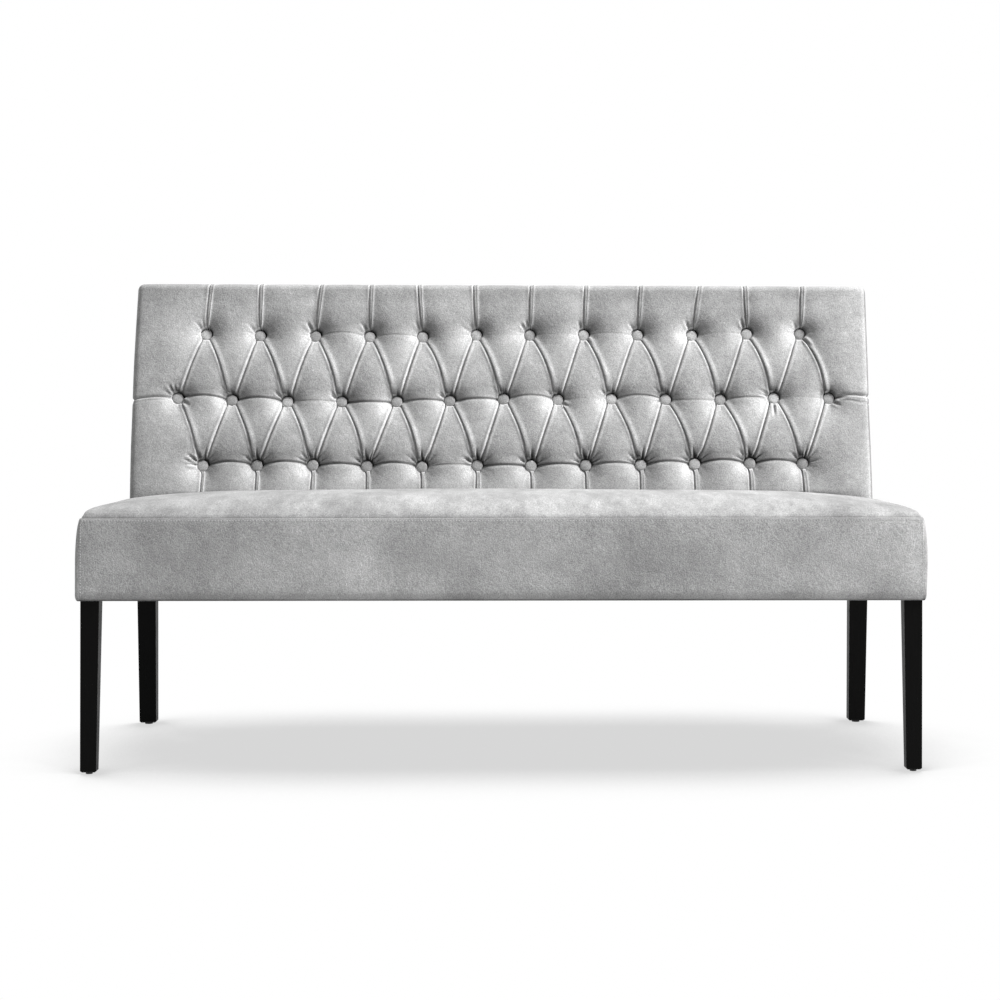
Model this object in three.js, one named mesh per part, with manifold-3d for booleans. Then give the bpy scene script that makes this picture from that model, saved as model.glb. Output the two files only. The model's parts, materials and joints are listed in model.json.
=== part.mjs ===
// An upholstered dining bench with a deep-buttoned, reclined back on four tapered legs.
// Millimetres. X runs to the right as seen from the front, Y from the front to the back, Z up.
// The origin is on the floor, in the middle of the bench's footprint.
import * as THREE from "three";
import { mergeVertices } from "three/addons/utils/BufferGeometryUtils.js";
import Module from "manifold-3d";

const wasm = await Module();
wasm.setup();

// Driving dimensions of the whole bench
const overallWidth = 1600; // over the seat's bulging side borders
const legHeight = 326; // floor to the seat's lower edge
const seatBoxHeight = 157; // seat's lower edge to the top-stitched seam
const seatDepth = 452; // seat's front face to the back's face, at seam height
const backLength = 485; // seam height to the top of the back, along the recline
const recline = THREE.MathUtils.degToRad(10.9);
const gap = 0.3; // air left between neighbouring pieces
const overrun = 5; // how far a cutting tool runs past the face that it cuts
const weldDistance = 0.001; // points nearer than this are one

// Covers
const borderBulge = 3; // swell of the seat's upright borders
const borderThickness = 3.5; // velvet with its fibre wrap
const borderTopInset = 12; // how far the border rounds in at the seam
const seatCrown = 36; // rise of the seat's middle over its seam
const topPanelThickness = 5;
const backCoverThickness = 1.5; // velvet alone
const dustCoverThickness = 1.5;

// Frame timber
const frontLeg = { width: 35, depth: 28, footWidth: 30, footDepth: 20 };
const rearLeg = { width: 40, depth: 30, footWidth: 36, footDepth: 24 };
const rearLegRake = 24; // how far the rear foot's back face stands behind the seat's
const footChamfer = 3;
const railThickness = 22;
const railHeight = 100;
const railLift = 4; // room under the rails for the dust cover
const tenonThickness = 10;
const tenonHeight = 44;
const tenonDrop = 8; // below the rail's top
const tenonLength = 16;
const stretcherThickness = 22;
const stretcherHeight = 60;
const stretcherDrop = 30; // below the rails' top, so that the webbing can give
const housingDepth = 6; // how far the stretchers are let into the rails
const topRailHeight = 70;
const lumbarRailHeight = 48;
const lumbarRailLift = 22; // above the seat seam, along the recline
const uprightWidth = 40;
const twineGroove = 8;

// Hardware
const glideThickness = 3;
const glideMargin = 3.5; // bare leg left round a glide
const blockLeg = 84; // a corner block's sides along the rails
const blockThickness = 32;
const blockLift = 6; // above the rails' lower edge
const boltRadius = 4;
const boltInLeg = 18;
const boltPastBlock = 15;
const boltClearance = 0.4;
const nutAcross = 13;
const nutHeight = 7;
const washerRadius = 11;
const washerThickness = 2;

// Webbing
const strapWidth = 60;
const strapThickness = 2;
const crossStrapCount = 10;
const longStrapCount = 3;
const strapEndInset = 3;

// Buttoned back
const padDepth = 41; // the buttoned cushion, pillow tops to its foam base
const baseFoamThickness = 10;
const boardThickness = 5;
const boardMargin = 7; // board's edge inside the frame's outline
const edgeRound = 12;
const middleRowCount = 13;
const sideMargin = 87; // last button of the middle row to the back's side
const lowestRowLift = 88; // lowest row over the seat seam, along the recline
const topRowMargin = 109; // top row to the top of the back
const pillowSag = 3; // the pillows stand a little behind the back's face
const pleatDepth = 15;
const pleatReach = 17; // half the width of the valley at a pleat
const creaseDepth = 7; // the level creases that join the buttons of a row
const pitDepth = 42; // at a button, right through the cushion
const pitReach = 24;
const buttonRadius = 12.5;
const buttonDome = 8;
const buttonShank = 10; // the tapered underside
const buttonSink = 14; // button's top behind the pillow tops
const twineRadius = 1.5;
const twineHoleRadius = 2.6;
const boardHoleRadius = 3;

// Counts of steps in the round and soft forms
const lattice = 4; // grid steps from one button to the next
const roundSides = 10;
const nutSides = 6;
const twineSides = 3;
const topBandSteps = 2;
const bottomBandSteps = 2;

// Shapes of the soft forms, as shares of the sizes above
const crownPowerAcrossShare = 8;
const crownPowerAlongShare = 3;
const crownEdgeShare = 0.42;
const crownRearShare = 0.86; // where the crown's curve is cut off by the back
const acrossShares = [0, 0.18, 0.36, 0.54, 0.7, 0.82, 0.9, 0.95, 0.985, 1];
const alongShares = [0, 0.012, 0.05, 0.12, 0.22, 0.36, 0.52, 0.68, 0.84, 1];
const borderRiseShares = [0, 0.16, 0.5, 0.78, 0.9, 0.96, 1]; // up the seat's border
const borderSwellShares = [0, 0.7, 1, 0.7]; // its swell, over the straight part
const borderTurnShares = [0.22, 0.54, 1]; // its turn inwards to the seam
const roundShares = [0, 0.29]; // stations across the rounded edge, from its outside
const dishShares = [1, 0.92, 0.55, 0]; // a button's radius from its rim to its crown
const domeShares = [0, 0.5, 0.85, 1]; // and its height there
const uprightPitchShare = 2.25; // uprights stand between the lines of twine
const stretcherShare = 1 / 3; // of the frame's half width

// Places worked out from the driving dimensions
const halfWidth = overallWidth / 2;
const innerBorder = borderBulge + borderThickness;
const frameInset = innerBorder + gap;
const frameX = halfWidth - frameInset;
const seamZ = legHeight + seatBoxHeight;
const railZ = legHeight + railLift;
const railTopZ = railZ + railHeight;
const baseFoamV = padDepth + gap; // v runs from the back's face into the back, square to it
const boardV = baseFoamV + baseFoamThickness + gap;
const frameV = boardV + boardThickness + gap;
const stileY = seatDepth + frameV / Math.cos(recline); // front face of the rear posts at the seat
const stileRearY = stileY + rearLeg.depth;
const frameBackV = frameV + rearLeg.depth * Math.cos(recline);
const backThickness = frameBackV + gap + backCoverThickness;
const backHalf = frameX + gap + backCoverThickness;
const frameTopH = backLength - backCoverThickness - gap; // h runs up the recline from seam height
const buttonPitch = (2 * (backHalf - sideMargin)) / (middleRowCount - 1);
const rowPitch = (backLength - topRowMargin - lowestRowLift) / 2;
const rows = [
  { name: "lower", h: lowestRowLift, count: middleRowCount - 1 },
  { name: "middle", h: lowestRowLift + rowPitch, count: middleRowCount },
  { name: "upper", h: lowestRowLift + 2 * rowPitch, count: middleRowCount - 1 },
];
for (const row of rows) {
  row.xs = Array.from({ length: row.count }, (_, k) => (k - (row.count - 1) / 2) * buttonPitch);
}
const buttonPlaces = rows.flatMap((row) => row.xs.map((x) => ({ x, h: row.h })));

// A point of the reclined back, h up its face and v into it, as Y and Z of the bench.
const reclined = (h, v) => [
  seatDepth + h * Math.sin(recline) + v * Math.cos(recline),
  seamZ + h * Math.cos(recline) - v * Math.sin(recline),
];

const material = (color, roughness, metalness = 0) =>
  new THREE.MeshStandardMaterial({ color, roughness, metalness });
const velvet = material(0xa6a6a6, 0.85);
const lacquer = material(0x141414, 0.3);
const beech = material(0xc9a477, 0.6);
const plywood = material(0xbf9c68, 0.65);
const steel = material(0xb8bcc0, 0.35, 1);
const webbing = material(0x3a3a3c, 0.9);
const foam = material(0xe8e2cf, 0.95);
const lining = material(0x1c1c1e, 0.95);
const plastic = material(0x2a2a2a, 0.5);

const bench = new THREE.Group();
const back = new THREE.Group(); // x across, y up the recline, z out of the back's face
back.rotation.x = Math.PI / 2 - recline;
back.position.set(0, seatDepth, seamZ);
bench.add(back);

function place(name, geometry, finish, group = bench) {
  const mesh = new THREE.Mesh(geometry, finish);
  mesh.name = name;
  group.add(mesh);
  return mesh;
}

// The same piece on the right, and mirrored on the left.
function placePair(name, geometry, finish, group = bench) {
  place(name + "_right", geometry, finish, group);
  place(name + "_left", geometry, finish, group).scale.x = -1;
}

function solid(geometry) {
  const bare = geometry.clone();
  bare.deleteAttribute("normal");
  bare.deleteAttribute("uv");
  const merged = mergeVertices(bare, weldDistance);
  return new wasm.Manifold(
    new wasm.Mesh({
      numProp: 3,
      vertProperties: new Float32Array(merged.attributes.position.array),
      triVerts: new Uint32Array(merged.index.array),
    }),
  );
}

function geometryOf(manifold) {
  const mesh = manifold.getMesh();
  return new THREE.BufferGeometry()
    .setAttribute("position", new THREE.BufferAttribute(mesh.vertProperties, 3))
    .setIndex(new THREE.BufferAttribute(mesh.triVerts, 1));
}

const cut = (geometry, tools) =>
  geometryOf(tools.reduce((whole, tool) => whole.subtract(solid(tool)), solid(geometry)));
const join = (pieces) =>
  geometryOf(pieces.map(solid).reduce((whole, piece) => whole.add(piece)));

const grow = ([low, high], by) => [low - by, high + by];
const centred = (middle, size) => [middle - size / 2, middle + size / 2];

function box([x0, x1], [y0, y1], [z0, z1]) {
  const middle = [(x0 + x1) / 2, (y0 + y1) / 2, (z0 + z1) / 2];
  return new THREE.BoxGeometry(x1 - x0, y1 - y0, z1 - z0).translate(...middle);
}

// A post through four-cornered sections. Each has its inner and outer x, and its front and rear (y, z).
function loft(sections) {
  const points = sections.flatMap(({ inner, outer, front, rear }) => [
    [inner, ...front],
    [outer, ...front],
    [outer, ...rear],
    [inner, ...rear],
  ]);
  const faces = [];
  const quad = (a, b, c, d) => faces.push(a, b, c, a, c, d);
  const last = 4 * (sections.length - 1);
  quad(3, 2, 1, 0);
  quad(last, last + 1, last + 2, last + 3);
  for (let low = 0; low < last; low += 4) {
    for (let side = 0; side < 4; side++) {
      const next = (side + 1) % 4;
      quad(low + side, low + next, low + next + 4, low + side + 4);
    }
  }
  return new THREE.BufferGeometry()
    .setAttribute("position", new THREE.Float32BufferAttribute(points.flat(), 3))
    .setIndex(faces);
}

const outlineShape = (outline) => new THREE.Shape(outline.map(([a, b]) => new THREE.Vector2(a, b)));
const extrude = (outline, depth) =>
  new THREE.ExtrudeGeometry(outlineShape(outline), { depth, bevelEnabled: false });

// An outline of (y, z) points, extruded across the bench from x0 to x1.
function extrudeAcross(outline, [x0, x1]) {
  const turn = new THREE.Matrix4().set(0, 0, 1, x0, 1, 0, 0, 0, 0, 1, 0, 0, 0, 0, 0, 1);
  return extrude(outline, x1 - x0).applyMatrix4(turn);
}

// An outline of (x, z) points, extruded along the bench's depth from y0 to y1.
const extrudeAlong = (outline, [y0, y1]) =>
  extrude(outline, y1 - y0).rotateX(Math.PI / 2).translate(0, y1, 0);

// An outline of (x, y) points, extruded upwards from z0 to z1.
const extrudeUp = (outline, [z0, z1]) => extrude(outline, z1 - z0).translate(0, 0, z0);

// A closed slab between two surfaces over a grid: top and bottom give z at (x, y).
function slab(xs, ys, top, bottom) {
  const points = [];
  for (const height of [top, bottom]) {
    for (const y of ys) for (const x of xs) points.push(x, y, height(x, y));
  }
  const wide = xs.length;
  const layer = wide * ys.length;
  const faces = [];
  const quad = (a, b, c, d) => faces.push(a, b, c, a, c, d);
  for (let j = 0; j + 1 < ys.length; j++) {
    for (let i = 0; i + 1 < wide; i++) {
      const a = j * wide + i;
      quad(a, a + 1, a + 1 + wide, a + wide);
      quad(a + layer, a + layer + wide, a + layer + wide + 1, a + layer + 1);
    }
  }
  const wall = (a, b) => quad(a, a + layer, b + layer, b);
  for (let i = 0; i + 1 < wide; i++) {
    wall(i, i + 1);
    wall(layer - i - 1, layer - i - 2);
  }
  for (let j = 0; j + 1 < ys.length; j++) {
    wall((j + 1) * wide, j * wide);
    wall((j + 1) * wide - 1, (j + 2) * wide - 1);
  }
  return new THREE.BufferGeometry()
    .setAttribute("position", new THREE.Float32BufferAttribute(points, 3))
    .setIndex(faces);
}

// Seat frame: mortised legs, tenoned rails, and stretchers let into the rails
const frontPostX = frameX - frontLeg.width; // inner faces of the posts
const rearPostX = frameX - rearLeg.width;
const frontPostRearY = frameInset + frontLeg.depth;
const railSpan = [railZ, railTopZ];
const tenonSpan = [railTopZ - tenonDrop - tenonHeight, railTopZ - tenonDrop];
const frontRailY = [frameInset, frameInset + railThickness];
const rearRailY = [stileRearY - railThickness, stileRearY];
const sideRailX = [frameX - railThickness, frameX];
const sideTenonX = centred(frameX - railThickness / 2, tenonThickness);
const tenonY = (railY) => centred((railY[0] + railY[1]) / 2, tenonThickness);
const stretcherX = frameX * stretcherShare;
const stretcherZ = [railTopZ - stretcherDrop - stretcherHeight, railTopZ - stretcherDrop];
const boltZ = railZ + blockLift + blockThickness / 2;
const corners = {
  front: { x: frontPostX, y: frontPostRearY, railY: frontRailY[1], into: 1 },
  rear: { x: rearPostX, y: stileY, railY: rearRailY[0], into: -1 },
};

// A round bar on a corner's bolt line, which runs level and at 45 degrees through the leg's inner edge.
// It reaches from start to end, measured from that edge towards the middle of the bench.
function boltBar(corner, radius, [start, end], sides) {
  return new THREE.CylinderGeometry(radius, radius, end - start, sides)
    .rotateZ(-Math.PI / 2)
    .translate((start + end) / 2, 0, 0)
    .rotateZ((corner.into * 3 * Math.PI) / 4)
    .translate(corner.x, corner.y, boltZ);
}

// The mortises and the bolt hole of a leg.
function legCuts(corner, railY) {
  const crossTenonX = [corner.x - overrun, corner.x + tenonLength];
  const sideTenonY = [corner.y - corner.into * tenonLength, corner.y + corner.into * overrun];
  const mortise = (x, y) => box(grow(x, gap), grow(y, gap), grow(tenonSpan, gap));
  return [
    mortise(crossTenonX, tenonY(railY)),
    mortise(sideTenonX, sideTenonY.sort((a, b) => a - b)),
    boltBar(corner, boltRadius + boltClearance, [-boltInLeg - gap, overrun], roundSides),
  ];
}

function frontLegSolid() {
  const section = (z, width, depth, trim = 0) => ({
    inner: frameX - width + trim,
    outer: frameX - trim,
    front: [frameInset + trim, z],
    rear: [frameInset + depth - trim, z],
  });
  const { width, depth, footWidth, footDepth } = frontLeg;
  const footZ = glideThickness + gap;
  const post = loft([
    section(footZ, footWidth, footDepth, footChamfer),
    section(footZ + footChamfer, footWidth, footDepth),
    section(legHeight, width, depth),
    section(railTopZ, width, depth),
  ]);
  return cut(post, legCuts(corners.front, frontRailY));
}

// One bent post is both the raked rear leg and the outer upright of the back.
function rearLegSolid() {
  const { width, footWidth, footDepth } = rearLeg;
  const section = (across, front, rear, trim = 0) => ({
    inner: frameX - across + trim,
    outer: frameX - trim,
    front,
    rear,
  });
  const footZ = glideThickness + gap;
  const footRearY = stileRearY + rearLegRake;
  const footFrontY = footRearY - footDepth;
  const post = loft([
    section(footWidth, [footFrontY + footChamfer, footZ], [footRearY - footChamfer, footZ], footChamfer),
    section(footWidth, [footFrontY, footZ + footChamfer], [footRearY, footZ + footChamfer]),
    section(width, [stileY, legHeight], [stileRearY, legHeight]),
    section(width, [stileY, seamZ], [stileRearY, seamZ]),
    section(width, reclined(frameTopH, frameV), reclined(frameTopH, frameBackV)),
  ]);
  return cut(post, legCuts(corners.rear, rearRailY));
}

// A rail between two posts, with a tenon at each end and housings for the stretchers.
function crossRail(postX, railY, housingY) {
  const rail = join([
    box([gap - postX, postX - gap], railY, railSpan),
    box([-postX - tenonLength, postX + tenonLength], tenonY(railY), tenonSpan),
  ]);
  const housings = [-stretcherX, stretcherX].map((x) =>
    box(grow(centred(x, stretcherThickness), gap), housingY, grow(stretcherZ, gap)),
  );
  return cut(rail, housings);
}

function sideRail() {
  const ends = [frontPostRearY, stileY];
  return join([
    box(sideRailX, grow(ends, -gap), railSpan),
    box(sideTenonX, grow(ends, tenonLength), tenonSpan),
  ]);
}

function seatFrame() {
  placePair("leg_front", frontLegSolid(), lacquer);
  placePair("leg_rear", rearLegSolid(), lacquer);
  const stretcherEnds = [frontRailY[1] - housingDepth, rearRailY[0] + housingDepth];
  const frontHousing = [stretcherEnds[0], frontRailY[1] + overrun];
  const rearHousing = [rearRailY[0] - overrun, stretcherEnds[1]];
  place("seat_rail_front", crossRail(frontPostX, frontRailY, frontHousing), beech);
  place("seat_rail_rear", crossRail(rearPostX, rearRailY, rearHousing), beech);
  placePair("seat_rail", sideRail(), beech);
  const stretcherSide = centred(stretcherX, stretcherThickness);
  placePair("seat_stretcher", box(stretcherSide, grow(stretcherEnds, -gap), stretcherZ), beech);
}

// Glides under the feet
function glides() {
  const feet = {
    front: [frontLeg, frameInset + frontLeg.footDepth / 2],
    rear: [rearLeg, stileRearY + rearLegRake - rearLeg.footDepth / 2],
  };
  for (const [end, [leg, y]] of Object.entries(feet)) {
    const radius = leg.footDepth / 2 - glideMargin;
    const glide = new THREE.CylinderGeometry(radius, radius, glideThickness, 2 * roundSides);
    glide.rotateX(Math.PI / 2).translate(frameX - leg.footWidth / 2, y, glideThickness / 2);
    placePair("glide_" + end, glide, plastic);
  }
}

// Corner blocks, with the bolt and the flanged nut that draw each leg into its corner
function cornerHardware(end, corner) {
  const { into } = corner;
  const railFaceX = sideRailX[0] - gap;
  const railFaceY = corner.railY + into * gap;
  const legX = corner.x - gap;
  const legY = corner.y + into * gap;
  const outline = [
    [legX, railFaceY],
    [legX, legY],
    [railFaceX, legY],
    [railFaceX, railFaceY + into * blockLeg],
    [railFaceX - blockLeg, railFaceY],
  ];
  const blockZ = centred(boltZ, blockThickness);
  const farFace =
    (blockLeg - (railFaceX - corner.x) - into * (corner.y - railFaceY)) * Math.SQRT1_2;
  const hole = boltBar(corner, boltRadius + boltClearance, [-overrun, farFace + overrun], roundSides);
  placePair("corner_block_" + end, cut(extrudeUp(outline, blockZ), [hole]), beech);
  const boltEnd = farFace + boltPastBlock;
  placePair("leg_bolt_" + end, boltBar(corner, boltRadius, [-boltInLeg, boltEnd], roundSides), steel);
  const seat = farFace + gap;
  const washerEnd = seat + washerThickness;
  const nutRadius = nutAcross / Math.sqrt(3);
  const nut = join([
    boltBar(corner, washerRadius, [seat, washerEnd], 2 * roundSides),
    boltBar(corner, nutRadius, [seat, washerEnd + nutHeight], nutSides),
  ]);
  const bore = boltBar(corner, boltRadius + gap, [seat - overrun, boltEnd + overrun], roundSides);
  placePair("leg_nut_" + end, cut(nut, [bore]), steel);
}

// Webbing: cross straps from rail to rail, and long straps woven over and under them
const strapZ = railTopZ + gap;
const strapStep = strapThickness + gap;
const crossPitch = (2 * rearPostX) / crossStrapCount;
const crossXs = Array.from(
  { length: crossStrapCount },
  (_, i) => (i - (crossStrapCount - 1) / 2) * crossPitch,
);

function longStrap(firstOver) {
  const end = frameX - strapEndInset;
  const railEdge = frameX - railThickness;
  const reach = strapWidth / 2 + strapThickness;
  const woven = crossXs.flatMap((x, i) => {
    const over = (i % 2 === 0) === firstOver;
    const z = strapZ + (over ? strapStep : -strapStep);
    return [
      [x - reach, z],
      [x + reach, z],
    ];
  });
  const lower = [[-end, strapZ], [-railEdge, strapZ], ...woven, [railEdge, strapZ], [end, strapZ]];
  const upper = lower.map(([x, z]) => [x, z + strapThickness]).reverse();
  return [...lower, ...upper];
}

function straps() {
  const crossY = [frameInset + strapEndInset, stileRearY - strapEndInset];
  const crossZ = [strapZ, strapZ + strapThickness];
  crossXs.forEach((x, i) => {
    place("cross_strap_" + (i + 1), box(centred(x, strapWidth), crossY, crossZ), webbing);
  });
  const longPitch = (seatDepth - frontPostRearY) / longStrapCount;
  for (let i = 0; i < longStrapCount; i++) {
    const y = centred(frontPostRearY + (i + 1 / 2) * longPitch, strapWidth);
    place("long_strap_" + (i + 1), extrudeAlong(longStrap(i % 2 === 0), y), webbing);
  }
}

// Seat cushion: a foam block under a crowned top panel, both cut off by the back's sloping face
const panelX = halfWidth - borderTopInset - gap;
const panelFrontY = borderTopInset + gap;
const foamZ = strapZ + strapStep + strapThickness + gap;
function crown(x, y) {
  const across = 1 - Math.abs(x / panelX) ** crownPowerAcrossShare;
  const t = (y - panelFrontY) / (seatDepth - panelFrontY);
  const along = 1 - Math.abs(2 * crownRearShare * t - 1) ** crownPowerAlongShare;
  return seatCrown * Math.max(across * along, 0) ** crownEdgeShare;
}
const bothSides = (shares) => [...shares.slice(1).map((share) => -share).reverse(), ...shares];
const spread = (shares, [low, high]) => shares.map((share) => low + (high - low) * share);

function seatCushion() {
  const behindBack = box(
    grow([-halfWidth, halfWidth], overrun),
    [-gap, seatDepth],
    [-backLength, backLength],
  );
  behindBack.rotateX(-recline).translate(0, seatDepth, seamZ);
  const panelTop = (x, y) => seamZ + crown(x, y);
  const panelBottom = (x, y) => panelTop(x, y) - topPanelThickness;
  const foamTop = (x, y) => panelBottom(x, y) - gap;
  const columns = bothSides(acrossShares).map((share) => share * panelX);
  const lines = spread(alongShares, [panelFrontY, seatDepth + 2 * overrun]);
  const panel = slab(columns, lines, panelTop, panelBottom);
  place("seat_top_panel", cut(panel, [behindBack]), velvet);
  // the foam runs on under the back's cushion as far as the rear posts
  const step = seamZ - topPanelThickness - gap;
  const crowned = slab(columns, lines, foamTop, () => foamZ);
  const rear = box([-panelX, panelX], [seatDepth - overrun, stileY - gap], [foamZ, step]);
  place("seat_foam", join([cut(crowned, [behindBack]), rear]), foam);
}

// Seat borders: upright velvet panels that swell at mid height and turn in to the seam
function borderOutline() {
  const turned = borderRiseShares.length - borderTurnShares.length;
  const insets = [
    ...borderSwellShares.map((share) => borderBulge * (1 - share)),
    ...borderTurnShares.map((share) => borderTopInset * share),
  ];
  const outer = borderRiseShares.map((share, i) => [insets[i], legHeight + seatBoxHeight * share]);
  return [
    ...outer,
    [borderTopInset, seamZ - borderThickness],
    [innerBorder, outer[turned][1] - borderThickness],
    [innerBorder, legHeight],
  ];
}

// What lies past the mitre at a front corner, beyond the line that runs at the given angle.
function pastMitre(side, angle) {
  const reach = 2 * borderTopInset;
  return box([-gap / 2, reach], [-reach, reach], grow([legHeight, seamZ], overrun))
    .rotateZ(angle)
    .translate(side * halfWidth, 0, 0);
}

function seatBorders() {
  const front = extrudeAcross(borderOutline(), [-halfWidth, halfWidth]);
  const mitres = [pastMitre(1, Math.PI / 4), pastMitre(-1, (3 * Math.PI) / 4)];
  place("seat_border_front", cut(front, mitres), velvet);
  const sideOutline = borderOutline().map(([inset, z]) => [halfWidth - inset, z]);
  const side = extrudeAlong(sideOutline, [0, stileRearY - gap]);
  const roundPost = box(
    [rearPostX, frameX + gap],
    [stileY - gap, stileRearY + overrun],
    grow([legHeight, seamZ], overrun),
  );
  placePair("seat_border", cut(side, [pastMitre(1, (5 * Math.PI) / 4), roundPost]), velvet);
}

// Dust cover under the seat, notched round the legs
function dustCover() {
  const edge = frameX - gap;
  const [frontX, rearX] = [frontPostX - gap, rearPostX - gap];
  const [y0, y1] = [frameInset + gap, stileRearY - gap];
  const [notch0, notch1] = [frontPostRearY + gap, stileY - gap];
  const right = [
    [frontX, y0],
    [frontX, notch0],
    [edge, notch0],
    [edge, notch1],
    [rearX, notch1],
    [rearX, y1],
  ];
  const left = right.map(([x, y]) => [-x, y]).reverse();
  const coverTop = railZ - gap;
  place("dust_cover", extrudeUp([...right, ...left], [coverTop - dustCoverThickness, coverTop]), lining);
}

// The back's own shapes are drawn with x across, h up the recline and v into the back
const backBox = (x, h, [v0, v1]) => box(x, h, [-v1, -v0]);

// A bar square to the back's face at (x, h), from depth v0 to v1.
const backBar = (radius, { x, h }, [v0, v1]) =>
  new THREE.CylinderGeometry(radius, radius, v1 - v0, twineSides)
    .rotateX(Math.PI / 2)
    .translate(x, h, -(v0 + v1) / 2);

function backFrame() {
  const railV = [frameV, frameV + railThickness];
  const railX = [gap - rearPostX, rearPostX - gap];
  const topRailH = [frameTopH - topRailHeight, frameTopH];
  const lumbarRailH = [lumbarRailLift, lumbarRailLift + lumbarRailHeight];
  place("back_rail_top", backBox(railX, topRailH, railV), beech, back);
  place("back_rail_lumbar", backBox(railX, lumbarRailH, railV), beech, back);
  const uprightX = centred(uprightPitchShare * buttonPitch, uprightWidth);
  const upright = backBox(uprightX, [lumbarRailH[1] + gap, topRailH[0] - gap], railV);
  const grooves = rows.map(({ h }) =>
    backBox(grow(uprightX, overrun), centred(h, twineGroove), [frameV - overrun, frameV + twineGroove]),
  );
  placePair("back_upright", cut(upright, grooves), beech, back);
  const boardX = frameX - boardMargin;
  const boardDepth = [boardV, boardV + boardThickness];
  const board = backBox([-boardX, boardX], [lumbarRailLift, frameTopH - gap], boardDepth);
  const holes = buttonPlaces.map((at) => backBar(boardHoleRadius, at, grow(boardDepth, overrun)));
  place("tufting_board", cut(board, holes), plywood, back);
}

// How far (x, h) lies from the nearest pleat. Pleats fan from each button of the middle row, where
// t = 0, to its two neighbours in the row above and the row below, where t = 1, and run on upright.
function pleatDistance(x, h) {
  const band = Math.min(Math.max((h - rows[0].h) / rowPitch, 0), 2);
  const t = Math.abs(band - 1);
  const phase = x / buttonPitch;
  const toLine = (line) => Math.abs(phase - line - Math.round(phase - line));
  return Math.min(toLine(t / 2), toLine(-t / 2)) * buttonPitch;
}
const buttonDistance = (x, h) =>
  Math.min(...buttonPlaces.map((at) => Math.hypot(x - at.x, h - at.h)));
const fade = (distance, reach) => Math.exp(-((distance / reach) ** 2));

// The buttoned face: how far it lies behind the back's foremost plane.
function tuftDepth(x, h) {
  const inField = Math.abs(x) < rows[1].xs.at(-1) + pleatReach;
  const pleat = inField ? pleatDepth * fade(pleatDistance(x, h), pleatReach) : 0;
  const creased = rows.slice(0, inField ? 2 : 0).map((row) => creaseDepth * fade(h - row.h, pleatReach));
  const sideCrease = creaseDepth * fade(h - rows[1].h, pleatReach);
  const pit = (pitDepth - pleatDepth) * fade(buttonDistance(x, h), pitReach);
  return pillowSag + Math.max(pleat, sideCrease, ...creased) + pit;
}
const edgeDepth = (distance) =>
  distance >= edgeRound ? 0 : edgeRound - Math.sqrt(edgeRound ** 2 - (edgeRound - distance) ** 2);

// Lines of points across the back. Every second line between the button rows is staggered by half a
// step, so that points lie on the slanting pleats.
function tuftLines() {
  const step = buttonPitch / lattice;
  const reach = Math.floor((backHalf - edgeRound - step / 2) / step);
  const edges = roundShares.map((share) => backHalf - edgeRound * share).reverse();
  const line = (h, staggered) => {
    const shift = staggered ? 1 / 2 : 0;
    const inner = [];
    for (let i = -reach; i <= reach - 2 * shift; i++) inner.push((i + shift) * step);
    return [...edges.map((x) => -x).reverse(), ...inner, ...edges].map((x) => ({ x, h }));
  };
  const lines = [];
  for (let i = 0; i < bottomBandSteps; i++) {
    lines.push(line((lowestRowLift * i) / bottomBandSteps, false));
  }
  for (let i = 0; i <= 2 * lattice; i++) {
    lines.push(line(rows[0].h + (rowPitch * i) / lattice, i % 2 === 1));
  }
  const topEdges = [...roundShares].reverse().map((share) => backLength - edgeRound * share);
  const topBand = topEdges[0] - rows[2].h;
  for (let i = 1; i < topBandSteps; i++) {
    lines.push(line(rows[2].h + (topBand * i) / topBandSteps, false));
  }
  for (const h of topEdges) lines.push(line(h, false));
  return lines;
}

// Joins two lines of points by triangles, taking the nearer next point each time.
function zip(lower, upper, faces) {
  let i = 0;
  let j = 0;
  while (i + 1 < lower.length || j + 1 < upper.length) {
    const upperDone = j + 1 === upper.length;
    const lowerDone = i + 1 === lower.length;
    const takeLower =
      upperDone || (!lowerDone && lower[i + 1].x - upper[j].x <= upper[j + 1].x - lower[i].x);
    const third = takeLower ? lower[i + 1] : upper[j + 1];
    faces.push(lower[i].at, third.at, upper[j].at);
    if (takeLower) i++;
    else j++;
  }
}

// The buttoned face, with walls round it down to a flat rear at the depth given.
function tuftedBlock(depth) {
  const lines = tuftLines();
  const points = [];
  const faces = [];
  const add = (x, h, v) => points.push(x, h, -v) / 3 - 1; // gives the new point's number
  for (const p of lines.flat()) {
    const rim = Math.max(edgeDepth(backHalf - Math.abs(p.x)), edgeDepth(backLength - p.h));
    p.at = add(p.x, p.h, Math.max(tuftDepth(p.x, p.h), rim));
  }
  for (let i = 0; i + 1 < lines.length; i++) zip(lines[i], lines[i + 1], faces);
  const [lowest, highest] = [lines[0], lines.at(-1)];
  const between = lines.slice(1, -1);
  const rightSide = between.map((line) => line.at(-1));
  const leftSide = between.map((line) => line[0]).reverse();
  const loop = [...lowest, ...rightSide, ...[...highest].reverse(), ...leftSide];
  const outerCorners = [lowest[0], lowest.at(-1), highest.at(-1), highest[0]];
  for (const p of outerCorners) p.behind = add(p.x, p.h, depth);
  let { behind } = lowest[0];
  loop.forEach((p, k) => {
    const next = loop[(k + 1) % loop.length];
    faces.push(p.at, behind, next.at);
    if (next.behind !== undefined) {
      faces.push(next.at, behind, next.behind);
      behind = next.behind;
    }
  });
  const [a, b, c, d] = outerCorners.map((p) => p.behind);
  faces.push(a, c, b, a, d, c);
  return new THREE.BufferGeometry()
    .setAttribute("position", new THREE.Float32BufferAttribute(points, 3))
    .setIndex(faces);
}

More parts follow.
